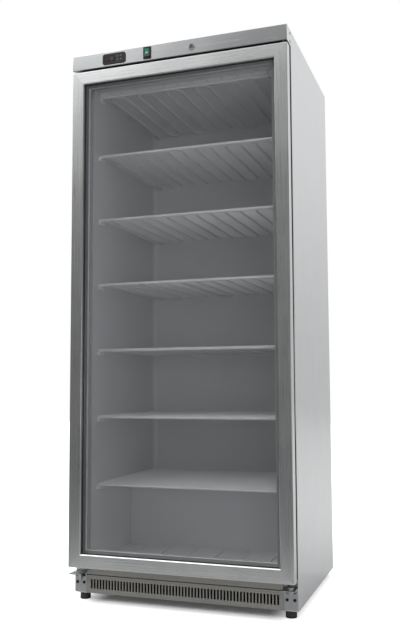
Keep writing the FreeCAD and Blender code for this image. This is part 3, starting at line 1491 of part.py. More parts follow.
def fan():
    """The shroud behind the condenser, the motor on its arms and the bladed fan."""
    outer = block("Shroud_outer", about(CONDENSER_X, "condenser_width"),
                  (SHROUD_FRONT, SHROUD_REAR), (PAN_TOP, f"{PAN_TOP} + condenser_height"))
    inner = block("Shroud_inner", about(CONDENSER_X, "condenser_width - 2 * shroud_wall"),
                  (SHROUD_FRONT, f"{SHROUD_REAR} - shroud_wall"),
                  (f"{PAN_TOP} + shroud_wall", f"{PAN_TOP} + condenser_height - shroud_wall"))
    hole = rod("Shroud_hole", "shroud_hole_radius", "y", (SHROUD_FRONT, f"{SHROUD_REAR} + shroud_wall"),
               x=CONDENSER_X, z=FAN_Z)
    shroud = cut("Shroud_cut", outer, inner, hole)
    motor_front = f"({SHROUD_REAR} + fan_hub_depth)"
    arm_y = (motor_front, f"{motor_front} + shroud_wall * 2")
    arm = block("Fan_arm", about(CONDENSER_X, "condenser_width"), arm_y, about(FAN_Z, "motor_arm_width"))
    arm_hole = rod("Fan_arm_hole", "fan_shaft_radius + fan_shaft_room", "y", arm_y,
                   x=CONDENSER_X, z=FAN_Z)
    legs = [block(f"Fan_leg_{side}", span, (SHROUD_REAR, arm_y[1]), about(FAN_Z, "motor_arm_width"))
            for side, span in (
                ("left", (f"{CONDENSER_X} - condenser_width / 2",
                          f"{CONDENSER_X} - condenser_width / 2 + shroud_wall * 2")),
                ("right", (f"{CONDENSER_X} + condenser_width / 2 - shroud_wall * 2",
                           f"{CONDENSER_X} + condenser_width / 2")))]
    node(fuse("Shroud", shroud, cut("Fan_arm_drilled", arm, arm_hole), *legs), "fan_shroud")

    motor_seat = arm_y[1]
    can = rod("Motor_can", "motor_radius", "y", (motor_seat, f"{motor_seat} + motor_depth"),
              x=CONDENSER_X, z=FAN_Z)
    shaft_hole = rod("Motor_bore", "fan_shaft_radius + pin_gap", "y",
                     (motor_seat, f"{motor_seat} + motor_depth / 2"), x=CONDENSER_X, z=FAN_Z)
    node(cut("Motor", can, shaft_hole), "fan_motor")

    hub_depth = size("fan_hub_depth") - size("shroud_gap")
    shaft_end = hub_depth + 2 * size("shroud_wall") + size("motor_depth") / 4
    hub = Part.makeCylinder(size("fan_hub_radius"), hub_depth, FreeCAD.Vector(), FreeCAD.Vector(0, 1, 0))
    shaft = Part.makeCylinder(size("fan_shaft_radius"), shaft_end, FreeCAD.Vector(),
                              FreeCAD.Vector(0, 1, 0))
    chord = size("fan_blade_chord")
    thick = size("fan_blade_thickness")
    root = size("fan_hub_radius") - thick
    reach = size("fan_radius")
    blade = Part.makeBox(chord, thick, reach - root, FreeCAD.Vector(-chord / 2, -thick / 2, root))
    blade.rotate(FreeCAD.Vector(), FreeCAD.Vector(0, 0, 1), size("fan_blade_degrees"))
    tip_ring = Part.makeCylinder(reach, 4 * hub_depth, FreeCAD.Vector(0, -2 * hub_depth, 0),
                                 FreeCAD.Vector(0, 1, 0))
    blade = blade.common(tip_ring)
    blade.translate(FreeCAD.Vector(0, hub_depth / 2 - size("fan_blade_lead"), 0))
    wheel = hub.fuse(shaft)
    blades = count("fan_blade_count")
    for i in range(blades):
        turned_blade = blade.copy()
        turned_blade.rotate(FreeCAD.Vector(), FreeCAD.Vector(0, 1, 0), 360 * i / blades)
        wheel = wheel.fuse(turned_blade)
    fan_piece = shaped("Fan_wheel", wheel.removeSplitter())
    move(fan_piece, x=CONDENSER_X, y=SHROUD_REAR, z=FAN_Z)
    node(fan_piece, "fan_blade")


def pipework():
    """The filter drier and the brazed pipes that join the machine's pieces."""
    pan_top = size("base_clearance") + size("pan_thickness")
    side = size("cabinet_width") / 2
    rear = size("overall_depth") / 2
    liner_rear = rear - size("rear_wall")
    machine_front = liner_rear - size("hump_depth") + size("hump_wall")
    rows = count("condenser_row_count")
    radius = size("pipe_radius")
    bend = size("pipe_bend")
    coil_y = machine_front + size("condenser_gap") + size("condenser_depth") / 2
    coil_right = size("condenser_side") - side + size("condenser_width") / 2
    row_step = size("condenser_height") / rows
    top_row = pan_top + size("condenser_height") - row_step / 2
    low_row = pan_top + row_step / 2
    pot_y = rear - size("compressor_setback")
    pot_x = side - size("compressor_side")
    pot_side = pot_x - size("compressor_radius") + size("compressor_seam_proud")
    pot_low = pan_top + size("mount_height") + size("compressor_plate_thickness")
    port_z = pot_low + size("port_height")
    gap = size("seat_gap")
    drier_bottom = low_row + size("drier_rise") + gap
    down_x = coil_right + size("pipe_drop_gap")
    drier_x = down_x + size("drier_radius") + size("drier_gap")
    riser_y = liner_rear + size("riser_setback")
    riser_x = outer_run()
    riser_low = (size("floor_height") + size("hump_height") - size("hump_wall") - bend)
    over = riser_low - 2 * bend

    discharge = tube([
        (pot_side - gap, pot_y, port_z),
        (down_x, pot_y, port_z),
        (down_x, coil_y + size("pipe_step"), port_z),
        (down_x, coil_y, top_row),
        (coil_right + gap, coil_y, top_row),
    ], radius, bend / 2)
    liquid = tube([
        (coil_right + gap, coil_y, low_row),
        (drier_x, coil_y, low_row),
        (drier_x, coil_y, drier_bottom - gap),
    ], radius, bend / 2)
    drier = Part.makeCylinder(size("drier_radius"), size("drier_length"),
                              FreeCAD.Vector(drier_x, coil_y, drier_bottom))
    node(shaped("Drier", drier), "filter_drier")
    pot_top = pot_low + size("compressor_height")
    suction = tube([
        (pot_x, pot_y, pot_top + gap),
        (pot_x, pot_y, over),
        (riser_x, riser_y - size("riser_lead"), over),
        (riser_x, riser_y, over + bend),
        (riser_x, riser_y, riser_low - gap),
    ], radius, bend / 2)
    capillary = tube([
        (drier_x, coil_y, drier_bottom + size("drier_length") + gap),
        (drier_x, coil_y, over),
        (down_x, riser_y, over),
        (-riser_x, riser_y, over),
        (-riser_x, riser_y, riser_low - gap),
    ], size("capillary_radius"), bend / 2)
    node(shaped("Pipes", Part.makeCompound([discharge, liquid, suction, capillary])),
         "refrigerant_pipes")


def cover_screw_places():
    """X and Z of the screws round the rear cover."""
    x = f"({HALF} - rear_flange - cover_screw_inset)"
    low = f"({PAN_TOP} + cover_screw_inset)"
    high = f"({MACHINE_TOP} - cover_screw_inset)"
    return [(f"{sign} * {x}", z) for sign in ("-1", "1") for z in (low, high)]


def machine_cover():
    """The louvred rear cover of the machine compartment, with a hole for the cord's gland."""
    body = doc.addObject("PartDesign::Body", "Cover")
    sketch = sketch_on(body, "XZ_Plane", "Cover_outline")
    rectangle(sketch, wide(f"{HALF} - rear_flange"), ("base_clearance", MACHINE_TOP))
    pad(body, sketch, "steel_thickness", reverse=True)
    move(body, y=f"{COVER_REAR} - steel_thickness")
    tools = []
    for index in range(count("cover_slot_count")):
        low = f"({PAN_TOP} + cover_slot_bottom + {index} * cover_slot_pitch)"
        tools.append(block(f"Cover_slot_{index + 1}", about(COMPRESSOR_X, "cover_slot_width"),
                           (MACHINE_FRONT, REAR), (low, f"{low} + cover_slot_height")))
    for index, (x, z) in enumerate(cover_screw_places()):
        tools.append(rod(f"Cover_screw_hole_{index + 1}", "panel_screw_radius", "y",
                         (MACHINE_FRONT, REAR), x=x, z=z))
    tools.append(rod("Cover_gland_hole", "gland_radius", "y", (MACHINE_FRONT, REAR),
                     x=GLAND_X, z="gland_z"))
    return node(cut("Cover_pierced", body, *tools), "machine_cover")


def cord_gland():
    """The screwed gland where the mains lead enters."""
    place = {"x": GLAND_X, "z": "gland_z"}
    outside = (COVER_REAR, f"{COVER_REAR} + gland_nut_depth")
    inside = (f"{COVER_REAR} - steel_thickness - gland_nut_depth", f"{COVER_REAR} - steel_thickness")
    neck = (f"{inside[0]} - gland_nut_depth", f"{inside[0]} - gland_nut_depth + gland_length")
    whole = fuse("Gland_solid", rod("Gland_nut", "gland_nut_radius", "y", outside, **place),
                 rod("Gland_lock_nut", "gland_nut_radius", "y", inside, **place),
                 rod("Gland_neck", "gland_radius", "y", neck, **place))
    bore = rod("Gland_bore", "gland_bore_radius", "y", (MACHINE_FRONT, f"{REAR} + cover_recess"), **place)
    return node(cut("Gland", whole, bore), "cord_gland")


def build():
    """Make every piece of the freezer."""
    side_panel("left", "side_panel_left")
    side_panel("right", "side_panel_right")
    top_panel()
    back_panel()
    liner, liner_outside = inner_liner()
    cabinet_foam(liner_outside)
    base_pan()
    feet()
    lower_front_rail()
    front_grille()
    lower_bracket("right", "lower_hinge_bracket")
    lower_bracket("left", "spare_hinge_bracket")
    bracket_screws()
    lower_hinge_pin()
    upper_hinge_bracket()
    door_frame()
    hinge_bushes()
    glazing()
    door_inner_frame()
    door_seal()
    control_panel()
    controller()
    switch()
    lock()
    cover_screws()
    evaporators()
    shelf_clips()
    evaporator_risers()
    compressor()
    terminal_cover()
    condenser()
    fan()
    pipework()
    machine_cover()
    cord_gland()
    doc.recompute()


def check():
    """Stop before writing if anything failed or came out empty."""
    for thing in doc.Objects:
        if "Invalid" in thing.State or "Error" in thing.State:
            raise RuntimeError(f"{thing.Name} failed: {thing.State}")
    for piece in NODES:
        if piece.Shape.isNull() or not piece.Shape.isValid() or not piece.Shape.Solids:
            raise RuntimeError(f"{piece.Label} has no sound shape")


def write():
    """Write each piece to a file of its own name."""
    os.makedirs("parts", exist_ok=True)
    for piece in NODES:
        piece.Shape.exportStep(f"parts/{piece.Label}.step")
    print(len(NODES), "pieces written")


build()
check()
write()
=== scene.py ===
# %% [markdown]
# # An upright freezer with a glass door
# The freezer is a folded steel cabinet around a white insulated box. A framed glass door hangs
# on its right, a control panel sits over the door, and a slotted grille runs under it. The
# construction already holds every solid piece at its real size. This script gives each surface
# its finish, adds the small shapes that only the eye needs, and lights and frames the picture.

# %% Load the construction
import bpy
import bmesh
import json
import math
from mathutils import Matrix, Vector


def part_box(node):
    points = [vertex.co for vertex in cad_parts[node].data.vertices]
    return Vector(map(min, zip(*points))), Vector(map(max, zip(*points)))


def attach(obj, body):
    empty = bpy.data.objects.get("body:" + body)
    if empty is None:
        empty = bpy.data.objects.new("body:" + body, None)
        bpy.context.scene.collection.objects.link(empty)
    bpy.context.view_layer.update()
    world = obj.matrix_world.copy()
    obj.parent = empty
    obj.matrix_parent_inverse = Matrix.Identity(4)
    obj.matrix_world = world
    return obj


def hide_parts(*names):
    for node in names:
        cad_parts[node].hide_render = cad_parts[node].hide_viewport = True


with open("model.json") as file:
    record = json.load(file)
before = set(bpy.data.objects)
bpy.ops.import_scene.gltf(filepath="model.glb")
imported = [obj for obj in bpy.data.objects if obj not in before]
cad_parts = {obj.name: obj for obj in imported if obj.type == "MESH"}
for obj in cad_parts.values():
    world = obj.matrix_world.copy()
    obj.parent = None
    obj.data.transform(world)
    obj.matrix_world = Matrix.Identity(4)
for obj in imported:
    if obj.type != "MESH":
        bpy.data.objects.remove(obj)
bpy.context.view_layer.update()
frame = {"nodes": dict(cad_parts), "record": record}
nodes = frame["nodes"]
MM = 0.001

# %% [markdown]
# ## Colours and nodes
# Paint and plastic colours are easiest to judge as the hex values that a screen shows, but a
# shader works with linear light. One function converts them. One more adds a shader node with
# its settings and its links, so that each finish below reads as a short recipe.

# %% Two helpers for every finish
TOE_END = 0.04045
TOE_SLOPE = 12.92
CURVE_OFFSET = 0.055
CURVE_POWER = 2.4


def linear(hex_colour):
    """An sRGB hex colour as linear red, green, blue and alpha."""
    shares = [int(hex_colour[i:i + 2], 16) / 255 for i in (1, 3, 5)]
    light = [c / TOE_SLOPE if c <= TOE_END else ((c + CURVE_OFFSET) / (1 + CURVE_OFFSET)) ** CURVE_POWER
             for c in shares]
    return (*light, 1.0)


def add(tree, kind, settings, links=None):
    """A new shader node with its settings and its incoming links."""
    new = tree.nodes.new(kind)
    for name, value in settings.items():
        if isinstance(name, str) and hasattr(new, name):
            setattr(new, name, value)
        else:
            new.inputs[name].default_value = value
    for name, socket in (links or {}).items():
        tree.links.new(socket, new.inputs[name])
    return new


print("white is", linear("#ffffff"))

# %% [markdown]
# ## One recipe for a patterned surface
# Almost every real finish is one colour broken up by a pattern: brush lines, orange peel, mould
# grain, zinc crystals. A noise texture stretched by real millimetres gives most of them, and a
# cell texture gives the crystals. The same pattern shifts the colour between two close tones,
# the roughness between two values, and lifts the surface by a height in millimetres. A second,
# broad noise adds the handling marks that stop a large face from looking like a drawing.

# %% The recipe
HANDLING_MM = 180.0
HANDLING_SHARE = 0.3
HANDLING_DETAIL = 2.0
GRAIN_DETAIL, GRAIN_BREAKUP = 3.0, 0.6
PATTERN_LOW, PATTERN_HIGH = 0.42, 0.88
LIFT_STRENGTH = 0.6


def surface(name, dark, light, roughness, grain_mm, lift_mm=0.0, metallic=0.0, cells=False,
            **sockets):
    """A material whose colour, roughness and height follow a pattern of the given grain."""
    material = bpy.data.materials.new(name)
    material.use_nodes = True
    tree = material.node_tree
    shader = tree.nodes["Principled BSDF"]
    shader.inputs["Metallic"].default_value = metallic
    for socket, value in sockets.items():
        shader.inputs[socket.replace("_", " ")].default_value = value
    place = add(tree, "ShaderNodeTexCoord", {})
    stretch = add(tree, "ShaderNodeMapping",
                  {"Scale": [1 / (MM * spacing) for spacing in grain_mm]},
                  {"Vector": place.outputs["Object"]})
    if cells:
        grain = add(tree, "ShaderNodeTexVoronoi", {"Scale": 1.0}, {"Vector": stretch.outputs["Vector"]})
        height = grain.outputs["Color"]
    else:
        grain = add(tree, "ShaderNodeTexNoise",
                    {"Scale": 1.0, "Detail": GRAIN_DETAIL, "Roughness": GRAIN_BREAKUP},
                    {"Vector": stretch.outputs["Vector"]})
        height = grain.outputs["Fac"]
    marks = add(tree, "ShaderNodeTexNoise",
                {"Scale": 1 / (MM * HANDLING_MM), "Detail": HANDLING_DETAIL},
                {"Vector": place.outputs["Object"]})
    mixed = add(tree, "ShaderNodeMath", {"operation": "MULTIPLY_ADD", 1: HANDLING_SHARE},
                {0: marks.outputs["Fac"], 2: height})
    share = add(tree, "ShaderNodeMapRange", {"From Min": PATTERN_LOW, "From Max": PATTERN_HIGH},
                {"Value": mixed.outputs["Value"]})
    tone = add(tree, "ShaderNodeMix", {"data_type": "RGBA", 6: linear(dark), 7: linear(light)},
               {0: share.outputs["Result"]})
    rough = add(tree, "ShaderNodeMapRange", {"To Min": roughness[0], "To Max": roughness[1]},
                {"Value": share.outputs["Result"]})
    tree.links.new(tone.outputs[2], shader.inputs["Base Color"])
    tree.links.new(rough.outputs["Result"], shader.inputs["Roughness"])
    if lift_mm:
        bump = add(tree, "ShaderNodeBump", {"Distance": MM * lift_mm, "Strength": LIFT_STRENGTH},
                   {"Height": height})
        tree.links.new(bump.outputs["Normal"], shader.inputs["Normal"])
    return material


def dress(material, *names):
    """Give construction pieces a finish."""
    for name in names:
        mesh = nodes[name].data
        mesh.materials.clear()
        mesh.materials.append(material)


print("recipe ready")

# %% [markdown]
# ## Brushed steel and aluminium
# The control panel is satin stainless steel and the door's frame is satin aluminium. Both are
# rubbed with a belt along their length. Each scratch runs for tens of centimetres and is a tenth
# of a millimetre wide, far too fine to show at this size, so the lines are drawn 1.5 mm apart.
# The scratches also stretch every highlight across themselves, which the shader calls
# anisotropy: level lines spread a lamp up and down, upright lines spread it sideways.

# %% Brushed along X and along Z
LINE_MM = 1.5
STROKE_MM = 320.0
SCRATCH_MM = 0.02
ACROSS_LEVEL = 0.25


def brushed(name, upright, dark, light, roughness, spread):
    """A satin metal with its belt lines level or upright."""
    grain = (LINE_MM, LINE_MM, STROKE_MM) if upright else (STROKE_MM, LINE_MM, LINE_MM)
    metal = surface(name, dark, light, roughness, grain, lift_mm=SCRATCH_MM, metallic=1.0,
                    Anisotropic=spread, Anisotropic_Rotation=0.0 if upright else ACROSS_LEVEL)
    tree = metal.node_tree
    tangent = add(tree, "ShaderNodeTangent", {"direction_type": "RADIAL", "axis": "Z"})
    tree.links.new(tangent.outputs["Tangent"], tree.nodes["Principled BSDF"].inputs["Tangent"])
    return metal


panel_steel = brushed("stainless_brushed_level", False, "#a4a6a7", "#b9bbbc", (0.15, 0.24), 0.45)
level_metal = brushed("aluminium_brushed_level", False, "#b9bbbb", "#cfd0d0", (0.24, 0.34), 0.45)
upright_metal = brushed("aluminium_brushed_upright", True, "#b3b5b5", "#c9caca", (0.24, 0.34), 0.45)
dress(panel_steel, "control_panel")
dress(level_metal, "door_rail_top", "door_rail_bottom")
dress(upright_metal, "door_stile_left", "door_stile_right")
print("lines", LINE_MM, "mm apart and", STROKE_MM, "mm long")

# %% [markdown]
# ## Side panels
# The sides are the same steel with a finer satin, brushed upright and much flatter in tone.
# Seen almost edge on they mirror the pale wall behind, so they look paler than the door.

# %% Satin sides and lid
side_steel = brushed("stainless_satin_side", True, "#b9bbbc", "#c9cbcc", (0.26, 0.34), 0.4)
dress(side_steel, "side_panel_left", "side_panel_right", "top_panel")
print(side_steel.name, "on both sides and the top")

# %% [markdown]
# ## Galvanised sheet
# The back, the pan and the rear cover are hot-dip galvanised. Zinc freezes in flat crystals
# that catch the light differently, so a cell texture sets the tone instead of a soft noise.

# %% Zinc spangle
SPANGLE_MM = 9.0
galvanised = surface("steel_galvanised", "#8d9294", "#a9aeb0", (0.38, 0.52), (SPANGLE_MM,) * 3,
                     metallic=1.0, cells=True)
dress(galvanised, "back_panel", "base_pan", "machine_cover")
print("spangle of", SPANGLE_MM, "mm")

# %% [markdown]
# ## Inside the cabinet
# The liner is white vacuum-formed polystyrene: smooth, with a faint orange peel about 3 mm
# across. The shelves are steel tube and wire dipped in a smooth white coating. The insulation
# is stiff pale yellow foam, hidden once the cabinet is closed round it.

# %% Liner, shelves, clips and foam
liner = surface("polystyrene_white_formed", "#cdcfcf", "#d6d8d8", (0.34, 0.46), (3.0,) * 3,
                lift_mm=0.03, IOR=1.55)
coated = surface("steel_wire_white_coated", "#e2e4e4", "#f0f2f1", (0.30, 0.42), (2.0,) * 3,
                 lift_mm=0.05)
clip = surface("abs_white_moulded", "#e2e3e2", "#eeefee", (0.35, 0.45), (0.8,) * 3)
foam = surface("polyurethane_foam_yellow", "#cbb884", "#dccb9c", (0.85, 0.95), (1.6,) * 3,
               lift_mm=0.3)
dress(liner, "inner_liner")
dress(coated, *[f"evaporator_shelf_{i}" for i in range(1, 7)], "ceiling_evaporator")
dress(clip, "shelf_clips")
dress(foam, "cabinet_foam")
print("white inside:", liner.name, coated.name, clip.name)

# %% [markdown]
# ## Glass
# The two panes are clear float glass. A shader that bends light is right for what the eye sees,
# but lamps would then never reach the shelves, so rays that carry shadow pass straight through
# and only take the pane's slight cool tint.

# %% Float glass that lets the lamps in
PANE_TINT = "#f6f6f7"


def float_glass():
    """Clear glass that bends light for the eye and lets shadow rays pass."""
    material = bpy.data.materials.new("glass_float_clear")
    material.use_nodes = True
    tree = material.node_tree
    shader = tree.nodes["Principled BSDF"]
    shader.inputs["Base Color"].default_value = linear(PANE_TINT)
    shader.inputs["Transmission Weight"].default_value = 1.0
    shader.inputs["IOR"].default_value = 1.52
    shader.inputs["Roughness"].default_value = 0.0
    clear = add(tree, "ShaderNodeBsdfTransparent", {"Color": linear(PANE_TINT)})
    ray = add(tree, "ShaderNodeLightPath", {})
    either = add(tree, "ShaderNodeMixShader", {}, {
        0: ray.outputs["Is Shadow Ray"], 1: shader.outputs["BSDF"], 2: clear.outputs["BSDF"]})
    tree.links.new(either.outputs["Shader"], tree.nodes["Material Output"].inputs["Surface"])
    return material


dress(float_glass(), "glass_outer", "glass_inner")
print("two panes tinted", PANE_TINT)

# %% [markdown]
# ## Around the glass
# The panes are bedded on black butyl tape and held apart by a matt anodised spacer, whose etched
# skin scatters light like pale paint. A grey extruded frame holds them from inside, and a soft
# black PVC gasket hangs on that frame.

# %% Tape, spacer, inner frame and gasket
gasket_pvc = surface("pvc_gasket_black", "#0f0f10", "#171718", (0.75, 0.90), (1.2,) * 3, lift_mm=0.03,
                     Specular_IOR_Level=0.0)
black_rubber = surface("rubber_black", "#151515", "#1f1f1f", (0.60, 0.80), (1.0,) * 3, lift_mm=0.04)
spacer = surface("aluminium_anodised_matt", "#c6c8c8", "#d4d6d6", (0.60, 0.75), (0.8, 0.8, 30.0),
                 metallic=0.2)
inner_frame = surface("abs_grey_extruded", "#b4b6b6", "#c2c4c4", (0.42, 0.55), (60.0, 1.0, 1.0))
nylon = surface("nylon_black_bush", "#1f2022", "#2b2c2e", (0.45, 0.55), (0.9,) * 3)
dress(gasket_pvc, "door_seal")
dress(black_rubber, "glazing_tape", "compressor_mounts")
dress(spacer, "glass_spacer")
dress(inner_frame, "door_inner_frame")
dress(nylon, "hinge_bushes")
print("door trimmed with", gasket_pvc.name, black_rubber.name, spacer.name, inner_frame.name)

# %% [markdown]
# ## Brackets, rail, grille and feet
# The rail and the grille are painted a warm silver grey with a light orange peel. The brackets,
# the hinge pin and the small screws in the control panel's ends and in the rear cover are zinc
# plated. The brackets' own screws are black oxide, dulled by a film of oil. The feet, the mains
# lead's gland and the compressor's terminal cover are moulded in black nylon.

# %% Painted and plated base
silver_paint = surface("steel_painted_silver", "#7f7e7a", "#8c8b86", (0.36, 0.48), (2.5,) * 3,
                       lift_mm=0.02, metallic=0.55)
zinc = surface("steel_zinc_plated", "#868889", "#a9abac", (0.24, 0.42), (1.5,) * 3, metallic=1.0)
black_oxide = surface("steel_black_oxide", "#161514", "#211f1e", (0.45, 0.60), (0.7,) * 3,
                      metallic=0.3, Specular_IOR_Level=0.3)
foot_black = surface("nylon_black_moulded", "#17181a", "#222325", (0.45, 0.60), (1.0,) * 3)
dress(silver_paint, "lower_front_rail", "front_grille")
dress(zinc, "lower_hinge_bracket", "spare_hinge_bracket", "lower_hinge_pin", "upper_hinge_bracket",
      "cover_screws")
dress(black_oxide, "bracket_screws")
dress(foot_black, "levelling_foot_front_left", "levelling_foot_front_right", "rear_feet",
      "cord_gland", "compressor_terminal_cover")
print("base in", silver_paint.name, zinc.name, black_oxide.name, foot_black.name)

# %% [markdown]
# ## Controls
# The controller and the switch are black ABS with a spark-eroded mould grain under half a
# millimetre, drawn at 0.6 mm so that a close look can find it. The display is a smoked acrylic
# window. The rocker is black with a clear green lens over its small lamp. The lock is satin
# nickel on brass, and its barrel is a darker grey than its ring.

# %% Finishes of the controls
black_abs = surface("abs_black_grained", "#161517", "#211f21", (0.38, 0.52), (0.6,) * 3, lift_mm=0.02,
                    Specular_IOR_Level=0.3)
smoked = surface("acrylic_smoked", "#171617", "#201f20", (0.10, 0.16), (4.0,) * 3,
                 Specular_IOR_Level=0.25)
button = surface("rubber_button_grey", "#302e2f", "#3d3b3c", (0.50, 0.60), (0.7,) * 3,
                 Specular_IOR_Level=0.3)
nickel = surface("brass_satin_nickel", "#8d8e8f", "#a4a5a6", (0.20, 0.32), (1.2,) * 3, metallic=1.0)
# The barrel is simply given a darker grey than the ring.
dark_barrel_brass = surface("brass_nickel_dark", "#4d4d4d", "#6f6f6e", (0.26, 0.40), (1.0,) * 3,
                     metallic=1.0)
dress(black_abs, "controller_housing", "switch_housing", "power_rocker")
dress(smoked, "controller_window")
dress(button, *[f"controller_button_{i}" for i in range(1, 5)])
dress(nickel, "lock_housing")
dress(dark_barrel_brass, "lock_barrel")
print("controls in", black_abs.name, smoked.name, button.name, nickel.name)

# %% [markdown]
# ## The machine at the rear
# Bare copper pipe, a compressor in thick black enamel, rolled aluminium fins and a shroud in
# black powder coat. They show only through the louvres, but they are finished all the same.

# %% Machine finishes
copper = surface("copper_drawn", "#a8623f", "#c27a52", (0.24, 0.38), (3.0,) * 3, metallic=1.0)
enamel = surface("steel_black_enamel", "#141414", "#1d1d1d", (0.22, 0.34), (5.0,) * 3, lift_mm=0.05)
fins = surface("aluminium_rolled", "#b4b7b9", "#c8cbcd", (0.30, 0.42), (1.0, 1.0, 20.0), metallic=1.0)
powder = surface("steel_powder_coated_black", "#1a1b1c", "#252627", (0.45, 0.60), (1.2,) * 3,
                 lift_mm=0.04)
dress(copper, "evaporator_risers", "filter_drier", "refrigerant_pipes")
dress(enamel, "compressor", "fan_motor")
dress(fins, "condenser", "fan_blade")
dress(powder, "fan_shroud")
print("machine in", copper.name, enamel.name, fins.name, powder.name)

# %% [markdown]
# ## Who carries what
# A new piece rides on the same moving body as the construction piece that it stands for, and
# that body is read from the construction's own record.

# %% Bodies and slots of every node
record = frame["record"]
bodies = record["behaviour"]["bodies"]
body_of_node = {member: body for body, members in bodies.items() for member in members}


def join_object(thing, node, replace=True):
    """Let a new piece ride with a node and, if asked, stand in its place."""
    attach(thing, body_of_node[node])
    if replace:
        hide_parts(node)
    return thing


def new_piece(name, mesh, material):
    """An object for a finished mesh."""
    mesh.materials.clear()
    mesh.materials.append(material)
    thing = bpy.data.objects.new(name, mesh)
    bpy.context.scene.collection.objects.link(thing)
    return thing


def corners(node):
    """Lowest and highest corner of a node at rest."""
    return [Vector(corner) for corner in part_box(node)]


# %% [markdown]
# ## Softened edges
# No real edge is perfectly sharp. Paint builds up, a press rolls the rim, a mould needs a
# radius, and each of these catches a thin highlight that tells the eye what the piece is made
# of. The construction's solids are sharp, so the pieces whose edges meet the eye get a copy with
# a bevel of its real size. The copy is welded and its flat faces are joined first, so that the
# bevel finds clean edges, and weighted normals keep the flat faces flat.

# %% Bevelled copies
WELD = 1e-6
FLAT = math.radians(0.4)
SHARP = math.radians(32)


def clean_copy(node):
    """A welded copy of a node's mesh with its flat faces joined."""
    work = bmesh.new()
    work.from_mesh(nodes[node].data)
    bmesh.ops.remove_doubles(work, verts=work.verts, dist=WELD)
    bmesh.ops.dissolve_limit(work, angle_limit=FLAT, verts=work.verts, edges=work.edges)
    return work


def finished_mesh(name, work):
    """A smooth shaded mesh from a bmesh."""
    for face in work.faces:
        face.smooth = True
    mesh = bpy.data.meshes.new(name)
    work.to_mesh(mesh)
    work.free()
    for layer in ("custom_normal", "sharp_edge"):
        if layer in mesh.attributes:
            mesh.attributes.remove(mesh.attributes[layer])
    return mesh


def bevelled(thing, edge_mm, steps=2):
    """Round the sharp edges of an object and keep its flat faces flat."""
    bevel = thing.modifiers.new("bevel", "BEVEL")
    bevel.width = MM * edge_mm
    bevel.segments = steps
    bevel.limit_method = "ANGLE"
    bevel.angle_limit = SHARP
    normals = thing.modifiers.new("normals", "WEIGHTED_NORMAL")
    normals.keep_sharp = True
    bpy.context.view_layer.update()
    seen = thing.evaluated_get(bpy.context.evaluated_depsgraph_get())
    mesh = bpy.data.meshes.new_from_object(seen)
    thing.modifiers.clear()
    thing.data = mesh
    return thing


def softened(node, edge_mm):
    """Stand a copy with rounded edges in the place of a node."""
    material = nodes[node].data.materials[0]
    mesh = finished_mesh(f"{node}_mesh", clean_copy(node))
    thing = bevelled(new_piece(f"{node}_softened", mesh, material), edge_mm)
    return join_object(thing, node)


print("edges over", round(math.degrees(SHARP)), "degrees are rounded")

# %% [markdown]
# ## How round each piece is
# Folded sheet is as round as it is thick, sawn and machined ends keep a crisp edge, and moulded
# caps, feet and rubber are the roundest. Each radius is the real edge's, in millimetres.

# %% Edges of the pieces
EDGE_MM = {
    "control_panel": 0.8,
    "door_stile_left": 0.5,
    "door_stile_right": 0.5,
    "door_rail_top": 0.5,
    "door_rail_bottom": 0.5,
    "door_inner_frame": 0.9,
    "lower_hinge_bracket": 1.0,
    "spare_hinge_bracket": 1.0,
    "upper_hinge_bracket": 1.0,
    "lower_hinge_pin": 0.6,
    "hinge_bushes": 0.5,
    "lower_front_rail": 0.6,
    "front_grille": 0.45,
    "controller_housing": 1.2,
    "switch_housing": 1.2,
    "controller_window": 0.4,
    **{f"controller_button_{number}": 0.8 for number in range(1, 5)},
    "lock_housing": 0.9,
    "lock_barrel": 0.4,
    "levelling_foot_front_left": 1.6,
    "levelling_foot_front_right": 1.6,
    "rear_feet": 1.6,
    "shelf_clips": 0.8,
    "machine_cover": 0.3,
    "fan_shroud": 0.5,
    "fan_motor": 1.5,
    "fan_blade": 0.4,
    "compressor_mounts": 1.5,
    "compressor_terminal_cover": 2.0,
    "cord_gland": 0.7,
}
soft_pieces = {node: softened(node, edge_mm) for node, edge_mm in EDGE_MM.items()}
print(len(soft_pieces), "pieces with rounded edges")

# %% [markdown]
# ## Screws
# The construction holds each screw as a plain head on a shank, which is enough to find where it
# sits, which way it faces and how big it is. A group of screws shares one mesh, so its solids
# are told apart first, by walking along edges from corner to corner.

# %% Where the screws are
CLOSE = 1e-4
HEAD_RIM_SHARE = 0.9


def solids_of(node):
    """The corner points of each separate solid of a node."""
    work = bmesh.new()
    work.from_mesh(nodes[node].data)
    bmesh.ops.remove_doubles(work, verts=work.verts, dist=WELD)
    waiting = set(work.verts)
    groups = []
    while waiting:
        stack = [waiting.pop()]
        group = []
        while stack:
            vert = stack.pop()
            group.append(vert.co.copy())
            for edge in vert.link_edges:
                other = edge.other_vert(vert)
                if other in waiting:
                    waiting.remove(other)
                    stack.append(other)
        groups.append(group)
    work.free()
    middles = [tuple(round(c, 4) for c in sum(group, Vector()) / len(group)) for group in groups]
    return [group for middle, group in sorted(zip(middles, groups), key=lambda pair: pair[0])]


